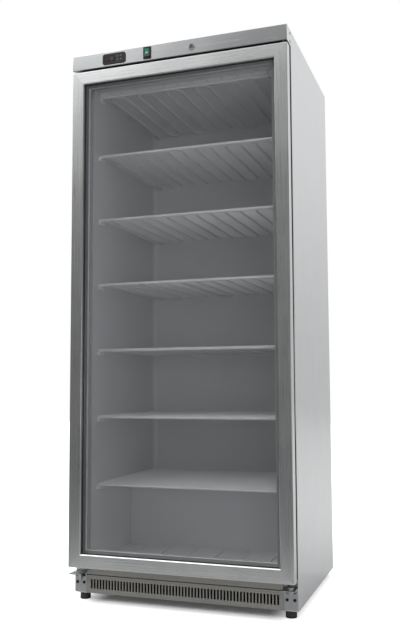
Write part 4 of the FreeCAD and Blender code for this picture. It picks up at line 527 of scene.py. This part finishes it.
def screw_seat(points):
    """Middle, outward axis, head radius, shank radius, head height and seat height of a screw."""
    low = Vector([min(p[i] for p in points) for i in range(3)])
    high = Vector([max(p[i] for p in points) for i in range(3)])
    middle, extent = (low + high) / 2, high - low
    along = next(i for i in range(3) if abs(extent[i - 1] - extent[i - 2]) < CLOSE)
    axis = Vector([1.0 if i == along else 0.0 for i in range(3)])
    reach = [((p - middle) - axis * (p - middle).dot(axis)).length for p in points]
    head_radius = max(reach)
    rim = HEAD_RIM_SHARE * head_radius
    heights = [(p - middle).dot(axis) for p, r in zip(points, reach) if r > rim]
    if sum(heights) < 0:
        axis = -axis
        heights = [-h for h in heights]
    seat = min(heights)
    shank = min(r for r in reach if r > CLOSE)
    return middle, axis, head_radius, shank, extent[along] / 2 - seat, seat


print(len(solids_of("bracket_screws")), "bracket screws,", len(solids_of("cover_screws")), "small ones")

# %% [markdown]
# ## A pan head with a cross
# The real head is a low dome with a cross sunk in its flat top, pressed by a tapered punch. The
# top is drawn as two outlines, a circle and a cross, the gap between them is filled, and the
# cross is drawn again, smaller and lower, for the floor of the recess.

# %% The head
HEAD_STEPS = 24
DOME = [(0.0, 1.0), (0.45, 1.0), (0.78, 0.94), (1.0, 0.72)]
CROSS_ARM_SHARE = 0.46
CROSS_HALF_SHARE = 0.10
CROSS_TAPER = 0.8
CROSS_FLOOR_SHARE = 0.35


def ring_points(work, radius, height):
    """A level ring of corners about the Z axis."""
    turns = [2 * math.pi * i / HEAD_STEPS for i in range(HEAD_STEPS)]
    return [work.verts.new((radius * math.cos(t), radius * math.sin(t), height)) for t in turns]


def bridge(work, first, second):
    """Faces between two rings of the same count."""
    for i in range(len(first)):
        j = (i + 1) % len(first)
        work.faces.new((first[i], first[j], second[j], second[i]))


def pan_head(work, head_radius, head_height, shank_radius, seat_to_end):
    """A pan head with a cross recess, on its shank, facing up from its seat at zero."""
    start = len(work.verts)
    rings = [ring_points(work, shank_radius, -seat_to_end), ring_points(work, shank_radius, 0.0)]
    rings += [ring_points(work, head_radius * share, head_height * rise) for rise, share in DOME]
    for first, second in zip(rings, rings[1:]):
        bridge(work, first, second)
    work.faces.new(list(reversed(rings[0])))
    arm, half = CROSS_ARM_SHARE * head_radius, CROSS_HALF_SHARE * head_radius
    outline = [(arm, -half), (arm, half), (half, half), (half, arm), (-half, arm), (-half, half),
               (-arm, half), (-arm, -half), (-half, -half), (-half, -arm), (half, -arm), (half, -half)]
    cross = [work.verts.new((x, y, head_height)) for x, y in outline]
    floor_height = CROSS_FLOOR_SHARE * head_height
    floor_cross = [work.verts.new((CROSS_TAPER * x, CROSS_TAPER * y, floor_height)) for x, y in outline]
    edges = [work.edges.new((a, b)) for a, b in zip(cross, cross[1:] + cross[:1])]
    rim = rings[-1]
    edges += [work.edges.get((a, b)) for a, b in zip(rim, rim[1:] + rim[:1])]
    bmesh.ops.triangle_fill(work, use_beauty=True, edges=edges)
    bridge(work, cross, floor_cross)
    work.faces.new(floor_cross)
    return list(work.verts)[start:]


print("heads of", HEAD_STEPS, "sides")

# %% [markdown]
# ## The screws in place
# Each head is drawn upright at the origin, then turned to face along its screw's axis and moved
# to its seat. One piece holds all the screws of a node, as the construction does.

# %% Screws in place
SCREW_EDGE_MM = 0.12


def detailed_screws(node):
    """Stand recessed screws in the place of a node's plain ones."""
    work = bmesh.new()
    for points in solids_of(node):
        middle, axis, head_radius, shank, height, seat = screw_seat(points)
        end = max(-(p - middle).dot(axis) for p in points)
        verts = pan_head(work, head_radius, height, shank, end + seat)
        turn = axis.to_track_quat("Z", "Y").to_matrix().to_4x4()
        place = Matrix.Translation(middle + axis * seat) @ turn
        bmesh.ops.transform(work, matrix=place, verts=verts)
    bmesh.ops.recalc_face_normals(work, faces=work.faces)
    mesh = finished_mesh(f"{node}_mesh", work)
    thing = new_piece(f"{node}_recessed", mesh, nodes[node].data.materials[0])
    return join_object(bevelled(thing, SCREW_EDGE_MM, 1), node)


for node in ("bracket_screws", "cover_screws"):
    print(node, "now have", len(detailed_screws(node).data.polygons), "faces")

# %% [markdown]
# ## The door's gasket
# A freezer door seals on a soft extruded gasket: a dart pressed into the frame, a hollow bulb
# that folds as the door shuts, and a magnet pocket that grips the steel. Its outline is drawn
# once as a section and carried round the four sides, mitred at the corners as the real one is
# welded. Its outer skirt is widest on the hinge side, where it closes the gap to the cabinet, and
# all but absent on the left, where it would cover the finger groove. The skirt's rear corner is
# slim, or it would rub as the door starts to turn.

# %% One section carried round the door
SKIRT_MM = {"left": 0.5, "right": 17.0, "bottom": 11.0, "top": 11.0}
SEAT_MM, BULB_MM, WAIST_MM, DART_MM = 16.0, 18.0, 13.0, 19.0
START_MM = 0.2
GASKET_EDGE_MM = 0.6


def ring_of_section(name, low, high, section, material):
    """A closed section, as inset, share of the skirt and depth, round an upright rectangle."""
    work = bmesh.new()
    loops = []
    for inset, share, depth in section:
        out = {side: MM * reach * share - inset for side, reach in SKIRT_MM.items()}
        x0, x1 = low.x - out["left"], high.x + out["right"]
        z0, z1 = low.z - out["bottom"], high.z + out["top"]
        loops.append([work.verts.new((x, depth, z)) for x, z in ((x0, z0), (x1, z0), (x1, z1), (x0, z1))])
    for first, second in zip(loops, loops[1:] + loops[:1]):
        bridge(work, first, second)
    bmesh.ops.recalc_face_normals(work, faces=work.faces)
    return new_piece(name, finished_mesh(name, work), material)


seal_low, seal_high = corners("door_seal")
seal_front, seal_rear = corners("door_inner_frame")[1].y, seal_high.y
bulb = seal_rear - seal_front
section = [
    (0.0, 1.0, seal_front + 0.06 * bulb),
    (0.0, 1.0, seal_front + 0.80 * bulb),
    (0.0, 0.7, seal_front + 0.92 * bulb),
    (0.0, 0.35, seal_front + 0.97 * bulb),
    (0.0, 0.0, seal_rear),
    (MM * SEAT_MM, 0.0, seal_rear),
    (MM * BULB_MM, 0.0, seal_rear - 0.10 * bulb),
    (MM * BULB_MM, 0.0, seal_rear - 0.34 * bulb),
    (MM * WAIST_MM, 0.0, seal_rear - 0.46 * bulb),
    (MM * DART_MM, 0.0, seal_front + 0.30 * bulb),
    (MM * DART_MM, 0.0, seal_front + MM * START_MM),
    (0.0, 0.8, seal_front + MM * START_MM),
]
gasket = ring_of_section("door_gasket", seal_low, seal_high, section, gasket_pvc)
join_object(bevelled(gasket, GASKET_EDGE_MM), "door_seal")
print("gasket section of", len(section), "corners")

# %% [markdown]
# ## Lens of the rocker
# The rocker's cap is moulded in two shots: a black body, and a clear green lens over the lamp in
# its upper left, with a short white stroke on it. The lens and its stroke are cut from copies of
# the rocker by flat planes, so that they follow the same slopes, and the black body is sunk a
# little so that the lens stands proud of it.

# %% Two-shot rocker
BODY_SINK_MM = 0.35
BODY_EDGE_MM = 0.8
LENS_SIDES_MM = (1.5, 5.5)
LENS_LOW_SHARE = 0.28
LENS_BACK_MM = 7.5
LENS_EDGE_MM = 0.5
STROKE_SIZE_MM = (6.0, 3.0)
STROKE_HEIGHT_SHARE = 0.36
STROKE_PROUD_MM = 0.1
lens_green = surface("polycarbonate_green_clear", "#0a5a45", "#0f7358", (0.22, 0.32), (3.0,) * 3,
                     Specular_IOR_Level=0.25, Emission_Color=linear("#0f8a66"),
                     Emission_Strength=0.08)
ink_white = surface("ink_white", "#cfd8d3", "#e2e9e5", (0.45, 0.55), (0.5,) * 3)
rocker_low, rocker_high = corners("power_rocker")


def rocker_slice(name, x_span, z_span, material):
    """The part of the rocker's cap between two upright and two level planes."""
    work = clean_copy("power_rocker")
    cuts = [
        ((x_span[0], 0, 0), (-1, 0, 0)),
        ((x_span[1], 0, 0), (1, 0, 0)),
        ((0, 0, z_span[0]), (0, 0, -1)),
        ((0, 0, z_span[1]), (0, 0, 1)),
        ((0, rocker_low.y + MM * LENS_BACK_MM, 0), (0, 1, 0)),
    ]
    for point, outward in cuts:
        everything = list(work.verts) + list(work.edges) + list(work.faces)
        cut = bmesh.ops.bisect_plane(work, geom=everything, plane_co=point, plane_no=outward,
                                     clear_outer=True)
        rim = [item for item in cut["geom_cut"] if isinstance(item, bmesh.types.BMEdge)]
        bmesh.ops.holes_fill(work, edges=rim, sides=0)
    slice_piece = new_piece(name, finished_mesh(name, work), material)
    return join_object(slice_piece, "power_rocker", replace=False)


lens_x = (rocker_low.x + MM * LENS_SIDES_MM[0], rocker_high.x - MM * LENS_SIDES_MM[1])
lens_z = (rocker_low.z + LENS_LOW_SHARE * (rocker_high.z - rocker_low.z), rocker_high.z + MM)
lens = bevelled(rocker_slice("rocker_lens", lens_x, lens_z, lens_green), LENS_EDGE_MM)
stroke_at = (sum(lens_x) / 2, lens_z[0] + STROKE_HEIGHT_SHARE * (rocker_high.z - lens_z[0]))
stroke_spans = [(c - MM * size / 2, c + MM * size / 2) for c, size in zip(stroke_at, STROKE_SIZE_MM)]
stroke = rocker_slice("rocker_lens_stroke", *stroke_spans, ink_white)
stroke.data.transform(Matrix.Translation((0, -MM * STROKE_PROUD_MM, 0)))
black_body = softened("power_rocker", BODY_EDGE_MM)
black_body.data.transform(Matrix.Translation((0, MM * BODY_SINK_MM, 0)))
print("lens faces", len(lens.data.polygons))

# %% [markdown]
# ## Marks on the controls
# The real controls carry printed marks, so generic ones stand on these. A mark could be painted
# by a texture, but a thin film cut to shape stays crisp from close by and survives the export.
# Each film is a tenth of a millimetre thick and lies on its face.

# %% Films cut to shape
MARK_MM = 0.1
print_grey = surface("ink_pale_grey", "#8d8c8c", "#a1a0a0", (0.50, 0.62), (0.5,) * 3)
led_dim = surface("led_segment_dim", "#5e3f3c", "#714b47", (0.30, 0.40), (0.5,) * 3,
                  Emission_Color=linear("#b5544a"), Emission_Strength=0.06)


def film(work, outline, front):
    """A thin flat shape in X and Z whose front is at a given Y."""
    shapes = [[work.verts.new((x, y, z)) for x, z in outline] for y in (front, front + MM * MARK_MM)]
    bridge(work, *shapes)
    work.faces.new(shapes[0])
    work.faces.new(list(reversed(shapes[1])))


def bar(x, z, half_width, half_height):
    """Outline of a level bar."""
    return [(x - half_width, z - half_height), (x + half_width, z - half_height),
            (x + half_width, z + half_height), (x - half_width, z + half_height)]


def marks(name, outlines, front, node, material):
    """All films of one face as one piece."""
    work = bmesh.new()
    for outline in outlines:
        film(work, outline, front)
    bmesh.ops.recalc_face_normals(work, faces=work.faces)
    mesh = bpy.data.meshes.new(name)
    work.to_mesh(mesh)
    work.free()
    return join_object(new_piece(name, mesh, material), node, replace=False)


def face_of(node):
    """Middle X and Z of a node, and the Y where a film lies on its front."""
    low, high = corners(node)
    return (low.x + high.x) / 2, (low.z + high.z) / 2, low.y - MM * MARK_MM


print("films", MARK_MM, "mm thick")

# %% [markdown]
# ## The display's figures
# The display shows a plain temperature, minus eighteen. A seven-segment figure is seven bars
# round two squares, named a to g by custom, and each figure lights its own few.

# %% Seven-segment figures
READING = "-18"
SEGMENTS_ON = {"1": "bc", "8": "abcdefg", "-": "g"}
DIGIT_MM = (6.0, 11.0)
STROKE_WIDTH_MM = 1.1
DIGIT_STEP_MM = 9.5
SEGMENT_GAP_SHARE = 0.5


def digit(figure, x, z):
    """The lit bars of one seven-segment figure."""
    w, h, t = MM * DIGIT_MM[0] / 2, MM * DIGIT_MM[1] / 2, MM * STROKE_WIDTH_MM / 2
    trim = t * (1 + SEGMENT_GAP_SHARE)
    places = {
        "a": (0, h, w - trim, t), "g": (0, 0, w - trim, t), "d": (0, -h, w - trim, t),
        "f": (-w, h / 2, t, h / 2 - trim), "b": (w, h / 2, t, h / 2 - trim),
        "e": (-w, -h / 2, t, h / 2 - trim), "c": (w, -h / 2, t, h / 2 - trim),
    }
    return [bar(x + dx, z + dz, a, b) for key, (dx, dz, a, b) in places.items()
            if key in SEGMENTS_ON[figure]]


window_x, window_z, window_front = face_of("controller_window")
figures = []
for place, figure in enumerate(READING):
    figures += digit(figure, window_x + MM * DIGIT_STEP_MM * (place - 1), window_z)
marks("display_figures", figures, window_front, "controller_window", led_dim)
print("display shows", len(figures), "lit bars")

# %% [markdown]
# ## The buttons' marks
# Generic marks again: an arrow up, an arrow down, a bar and a dot. Each is one outline about the
# middle of its button.

# %% One mark on each button
MARK_HALF_MM = 1.5
ARROW_TAIL_SHARE = 0.8
BAR_SHARE = 0.3
DOT_SHARE = 0.8
DOT_STEPS = 24


def arrow(x, z, half, up):
    """Outline of a triangle that points up, or down where up is -1."""
    tail = z - up * half * ARROW_TAIL_SHARE
    return [(x - half, tail), (x + half, tail), (x, z + up * half)]


def dot(x, z, radius):
    """Outline of a round dot."""
    turns = [2 * math.pi * i / DOT_STEPS for i in range(DOT_STEPS)]
    return [(x + radius * math.cos(t), z + radius * math.sin(t)) for t in turns]


half = MM * MARK_HALF_MM
for number in range(1, 5):
    button_node = f"controller_button_{number}"
    x, z, front = face_of(button_node)
    shape = {1: arrow(x, z, half, 1), 2: arrow(x, z, half, -1), 3: bar(x, z, half, half * BAR_SHARE),
             4: dot(x, z, half * DOT_SHARE)}[number]
    marks(f"button_{number}_mark", [shape], front, button_node, print_grey)
print("marks", 2 * MARK_HALF_MM, "mm wide")

# %% [markdown]
# ## Louvre hoods on the rear cover
# The rear cover's slots are lanced: the press pushes a lip of steel out over each slot, which
# keeps drips off the machine and throws the warm air down. The construction has the slots. Each
# lip is a strip of sheet curved through a quarter round, over the upper edge of its slot.

# %% Lanced lips
LIP_MM = 5.5
LIP_RISE_MM = 8.0
LIP_ABOVE_MM = 2.5
LIP_WALL_MM = 0.8
LIP_STEPS = 6
SLOT_SHARE = 0.25
SHEET_EDGE_MM = 0.2


def slot_rows(node):
    """Height and X ends of each long level edge inside a sheet's rear face, lowest first."""
    rows = {}
    low, high = corners(node)
    work = clean_copy(node)
    for edge in work.edges:
        a, b = edge.verts[0].co, edge.verts[1].co
        level = abs(a.z - b.z) < CLOSE and abs(a.y - b.y) < CLOSE
        inside = low.z + MM < a.z < high.z - MM and a.y > high.y - CLOSE
        if level and inside and abs(a.x - b.x) > SLOT_SHARE * (high.x - low.x):
            rows[round(a.z, 5)] = (min(a.x, b.x), max(a.x, b.x))
    work.free()
    return sorted(rows.items())


cover_low, cover_high = corners("machine_cover")
# A slot has a lower and an upper edge, so every second row is the top of one.
tops = slot_rows("machine_cover")[1::2]
work = bmesh.new()
for z, (x0, x1) in tops:
    outer, inner = [], []
    for step in range(LIP_STEPS + 1):
        turn = math.pi / 2 * step / LIP_STEPS
        for ring, grow in ((outer, 0.0), (inner, MM * LIP_WALL_MM)):
            out = (MM * LIP_MM - grow) * math.sin(turn)
            up = (MM * LIP_RISE_MM - grow) * math.cos(turn)
            ring.append((cover_high.y + out, z + MM * (LIP_ABOVE_MM - LIP_RISE_MM) + up))
    profile = outer + list(reversed(inner))
    ends = [[work.verts.new((x, y, height)) for y, height in profile] for x in (x0, x1)]
    bridge(work, *ends)
    for side in ends:
        work.faces.new(side)
bmesh.ops.recalc_face_normals(work, faces=work.faces)
hoods = new_piece("cover_louvre_lips", finished_mesh("cover_louvre_lips", work), galvanised)
join_object(bevelled(hoods, SHEET_EDGE_MM, 1), "machine_cover", replace=False)
print(len(tops), "louvres")

# %% [markdown]
# ## Folds at the rear cover's sides
# The rear cover lies sunk behind the side panels' narrow rear folds. Its own side edges run on
# behind those folds and turn forward against the panels, so that no slot is left open beside it.
# Each is one bent strip: an L drawn in plan and carried up the cover's height.

# %% Bent side edges
FOLD_DEPTH_MM = 12.0
FOLD_PLAY_MM = 0.3

sheet = cover_high.y - cover_low.y
fold_out = corners("side_panel_right")[1].x - sheet - MM * FOLD_PLAY_MM
fold_front = cover_high.y - MM * FOLD_DEPTH_MM
bend = [(cover_high.x, cover_high.y), (fold_out, cover_high.y), (fold_out, fold_front),
        (fold_out - sheet, fold_front), (fold_out - sheet, cover_low.y), (cover_high.x, cover_low.y)]
work = bmesh.new()
for side in (-1, 1):
    ends = [[work.verts.new((side * x, y, z)) for x, y in bend] for z in (cover_low.z, cover_high.z)]
    bridge(work, *ends)
    for end in ends:
        work.faces.new(end)
bmesh.ops.recalc_face_normals(work, faces=work.faces)
folds = new_piece("cover_side_folds", finished_mesh("cover_side_folds", work), galvanised)
join_object(bevelled(folds, SHEET_EDGE_MM, 1), "machine_cover", replace=False)
print("side folds reach", round(fold_out / MM, 1), "mm from the middle")

# %% [markdown]
# ## Smooth changes for the studio
# The floor and the sky are both drawn by numbers that change smoothly from place to place. A
# map range node does that, so one helper makes such a ramp, and another tells how far a point
# lies outside a span, for a mask that follows the freezer's base and paints a soft shadow round it.

# %% Ramps and masks


def ramp(tree, value, low, high, start, end):
    """A smooth change from start to end while a value goes from low to high."""
    change = add(tree, "ShaderNodeMapRange", {"From Min": low, "From Max": high, "To Min": start,
                                               "To Max": end, "interpolation_type": "SMOOTHSTEP"},
                 {"Value": value})
    return change.outputs["Result"]


def beyond(tree, value, low, high):
    """How far a value lies outside a span."""
    off = add(tree, "ShaderNodeMath", {"operation": "SUBTRACT", 1: (low + high) / 2}, {0: value})
    size = add(tree, "ShaderNodeMath", {"operation": "ABSOLUTE"}, {0: off.outputs["Value"]})
    past = add(tree, "ShaderNodeMath", {"operation": "SUBTRACT", 1: (high - low) / 2},
               {0: size.outputs["Value"]})
    return past.outputs["Value"]


print("ramp and mask ready")

# %% [markdown]
# ## Floor
# A white sweep: a pale floor that takes the freezer's soft shadow. To the camera it is white all
# over, lifted by a little glow that lights nothing. The glow fades out close round the freezer's
# base, which paints a soft shadow there on top of the real shadow under it. Reflected in metal, it
# is pale beside and behind the freezer and fades to grey in front, as in a studio where only the
# backdrop is white.

# %% White floor
FLOOR_HALF = 12.0
SQUARE = ((-1, -1), (1, -1), (1, 1), (-1, 1))
FLOOR_WHITE = "#f4f4f4"
FLOOR_ROUGHNESS = 0.9
FLOOR_GLOW = 0.55
FLOOR_FRONT, FLOOR_REAR = 0.17, 0.86
FADE_FRONT, FADE_REAR = -1.7, 0.3
# Margin, insets and remaining glow of the painted shadow round the base.
SHADE_MARGIN = 0.10
SHADE_SIDE_INSET = 0.11
SHADE_END_INSET = 0.02
SHADE_GLOW = 0.04

floor_paint = bpy.data.materials.new("studio_floor_white")
floor_paint.use_nodes = True
tree = floor_paint.node_tree
shader = tree.nodes["Principled BSDF"]
shader.inputs["Roughness"].default_value = FLOOR_ROUGHNESS
shader.inputs["Specular IOR Level"].default_value = 0.0
shader.inputs["Emission Color"].default_value = linear("#ffffff")
ray = add(tree, "ShaderNodeLightPath", {})
place = add(tree, "ShaderNodeTexCoord", {})
axes = add(tree, "ShaderNodeSeparateXYZ", {}, {"Vector": place.outputs["Object"]})
paint = add(tree, "ShaderNodeMix", {"data_type": "RGBA", 6: linear(FLOOR_WHITE)}, {
    0: ray.outputs["Is Glossy Ray"],
    7: ramp(tree, axes.outputs["Y"], FADE_FRONT, FADE_REAR, FLOOR_FRONT, FLOOR_REAR)})
base_low, base_high = corners("base_pan")
# Near the freezer's base the glow is cut back, which paints a soft shadow on the floor round the base.
outside = add(tree, "ShaderNodeMath", {"operation": "MAXIMUM"}, {
    0: beyond(tree, axes.outputs["X"], base_low.x + SHADE_SIDE_INSET, base_high.x - SHADE_SIDE_INSET),
    1: beyond(tree, axes.outputs["Y"], base_low.y + SHADE_END_INSET, base_high.y - SHADE_END_INSET)})
glow_past_painted_shadow = ramp(tree, outside.outputs["Value"], 0.0, SHADE_MARGIN, SHADE_GLOW, FLOOR_GLOW)
seen = add(tree, "ShaderNodeMath", {"operation": "MULTIPLY"},
           {0: ray.outputs["Is Camera Ray"], 1: glow_past_painted_shadow})
tree.links.new(paint.outputs[2], shader.inputs["Base Color"])
tree.links.new(seen.outputs["Value"], shader.inputs["Emission Strength"])
floor_mesh = bpy.data.meshes.new("studio_floor")
floor_corners = [(x * FLOOR_HALF, y * FLOOR_HALF, 0.0) for x, y in SQUARE]
floor_mesh.from_pydata(floor_corners, [], [(0, 1, 2, 3)])
floor = new_piece("studio_floor", floor_mesh, floor_paint)
print("floor of", 2 * FLOOR_HALF, "metres")

# %% [markdown]
# ## The world around
# Polished and brushed metal shows what stands around it, so the studio is drawn as a sky of
# greys: dim in front where the camera stands, a bright bank of light high in front and brighter
# to the left, and a pale wall behind that fades towards the floor. The eye itself sees plain
# white everywhere, through the camera ray.

# %% World
FRONT_LEVEL = 0.22
BANK_LEVEL = 2.8
BANK_UP = (0.37, 0.42)
BANK_ACROSS = (-0.48, -0.22)
BANK_RIGHT_SHARE = 0.13
WALL_UP = (-0.05, 0.38)
WALL_LEVELS = (0.74, 1.10)
WALL_FROM, WALL_FULL = -0.1, 0.35

world = bpy.data.worlds.new("studio")
bpy.context.scene.world = world
world.use_nodes = True
tree = world.node_tree
background = tree.nodes["Background"]
background.inputs["Color"].default_value = linear("#ffffff")
place = add(tree, "ShaderNodeTexCoord", {})
axes = add(tree, "ShaderNodeSeparateXYZ", {}, {"Vector": place.outputs["Generated"]})
across, along, up = (axes.outputs[axis] for axis in "XYZ")
bank = add(tree, "ShaderNodeMath", {"operation": "MULTIPLY"}, {
    0: ramp(tree, up, *BANK_UP, 0.0, BANK_LEVEL),
    1: ramp(tree, across, *BANK_ACROSS, 1.0, BANK_RIGHT_SHARE)})
front = add(tree, "ShaderNodeMath", {"operation": "ADD", 1: FRONT_LEVEL}, {0: bank.outputs["Value"]})
wall = ramp(tree, up, *WALL_UP, *WALL_LEVELS)
level = add(tree, "ShaderNodeMix", {"data_type": "FLOAT"}, {
    0: ramp(tree, along, WALL_FROM, WALL_FULL, 0.0, 1.0), 2: front.outputs["Value"], 3: wall})
ray = add(tree, "ShaderNodeLightPath", {})
shown = add(tree, "ShaderNodeMix", {"data_type": "FLOAT", 3: 1.0},
            {0: ray.outputs["Is Camera Ray"], 2: level.outputs[0]})
tree.links.new(shown.outputs[0], background.inputs["Strength"])
print("bank of light", BANK_LEVEL, "times white, front", FRONT_LEVEL)

# %% [markdown]
# ## Lamps
# A softbox high on the left gives the light its direction, one overhead fills the floor, and a
# low one on the right front, with a grid, reaches up through the glass to the walls and to the
# undersides of the upper shelves.

# %% Three softboxes
OPEN_SPREAD = 180


def softbox(name, at, aim, width, height, watts, spread=OPEN_SPREAD):
    """A rectangular lamp; a spread under 180 degrees is a grid on its front."""
    lamp = bpy.data.lights.new(name, "AREA")
    lamp.spread = math.radians(spread)
    lamp.shape = "RECTANGLE"
    lamp.size = width
    lamp.size_y = height
    lamp.energy = watts
    thing = bpy.data.objects.new(name, lamp)
    bpy.context.scene.collection.objects.link(thing)
    thing.location = at
    thing.rotation_euler = (Vector(aim) - Vector(at)).to_track_quat("-Z", "Y").to_euler()
    return thing


lamps = [
    softbox("softbox_left", at=(-3.4, -2.6, 3.6), aim=(0, 0, 1.1), width=2.2, height=2.2, watts=27),
    softbox("softbox_top", at=(0.0, -1.4, 4.4), aim=(0, 0, 0.6), width=3.6, height=3.0, watts=59),
    softbox("softbox_right", at=(2.4, -4.0, 0.8), aim=(-0.2, 0, 1.75), width=2.2, height=1.2,
            watts=5.5, spread=80),
]
print("lamps of", sum(lamp.data.energy for lamp in lamps), "watts")

# %% [markdown]
# ## Camera
# The camera stands to the right of the door, at the height of a table, and looks slightly up.
# Its place, its angles and its focal length, in pixels, are those of a camera fitted to the
# edges of the door and the cabinet.

# %% Camera in place
PHOTO_HEIGHT = 640
FOCAL_PIXELS = 781.6
SENSOR_MM = 36.0
CAMERA_AT = (0.9234, -2.7446, 0.7232)
YAW, PITCH, ROLL = 19.208, 4.853, -0.236

optics = bpy.data.cameras.new("camera")
optics.sensor_width = SENSOR_MM
optics.lens = FOCAL_PIXELS * SENSOR_MM / PHOTO_HEIGHT
camera = bpy.data.objects.new("camera", optics)
bpy.context.scene.collection.objects.link(camera)
turn = (Matrix.Rotation(math.radians(YAW), 4, "Z")
        @ Matrix.Rotation(math.radians(90 + PITCH), 4, "X")
        @ Matrix.Rotation(math.radians(ROLL), 4, "Z"))
camera.matrix_world = Matrix.Translation(CAMERA_AT) @ turn
bpy.context.scene.camera = camera
bpy.context.scene.view_settings.view_transform = "Standard"
print("lens", round(optics.lens, 2), "mm")
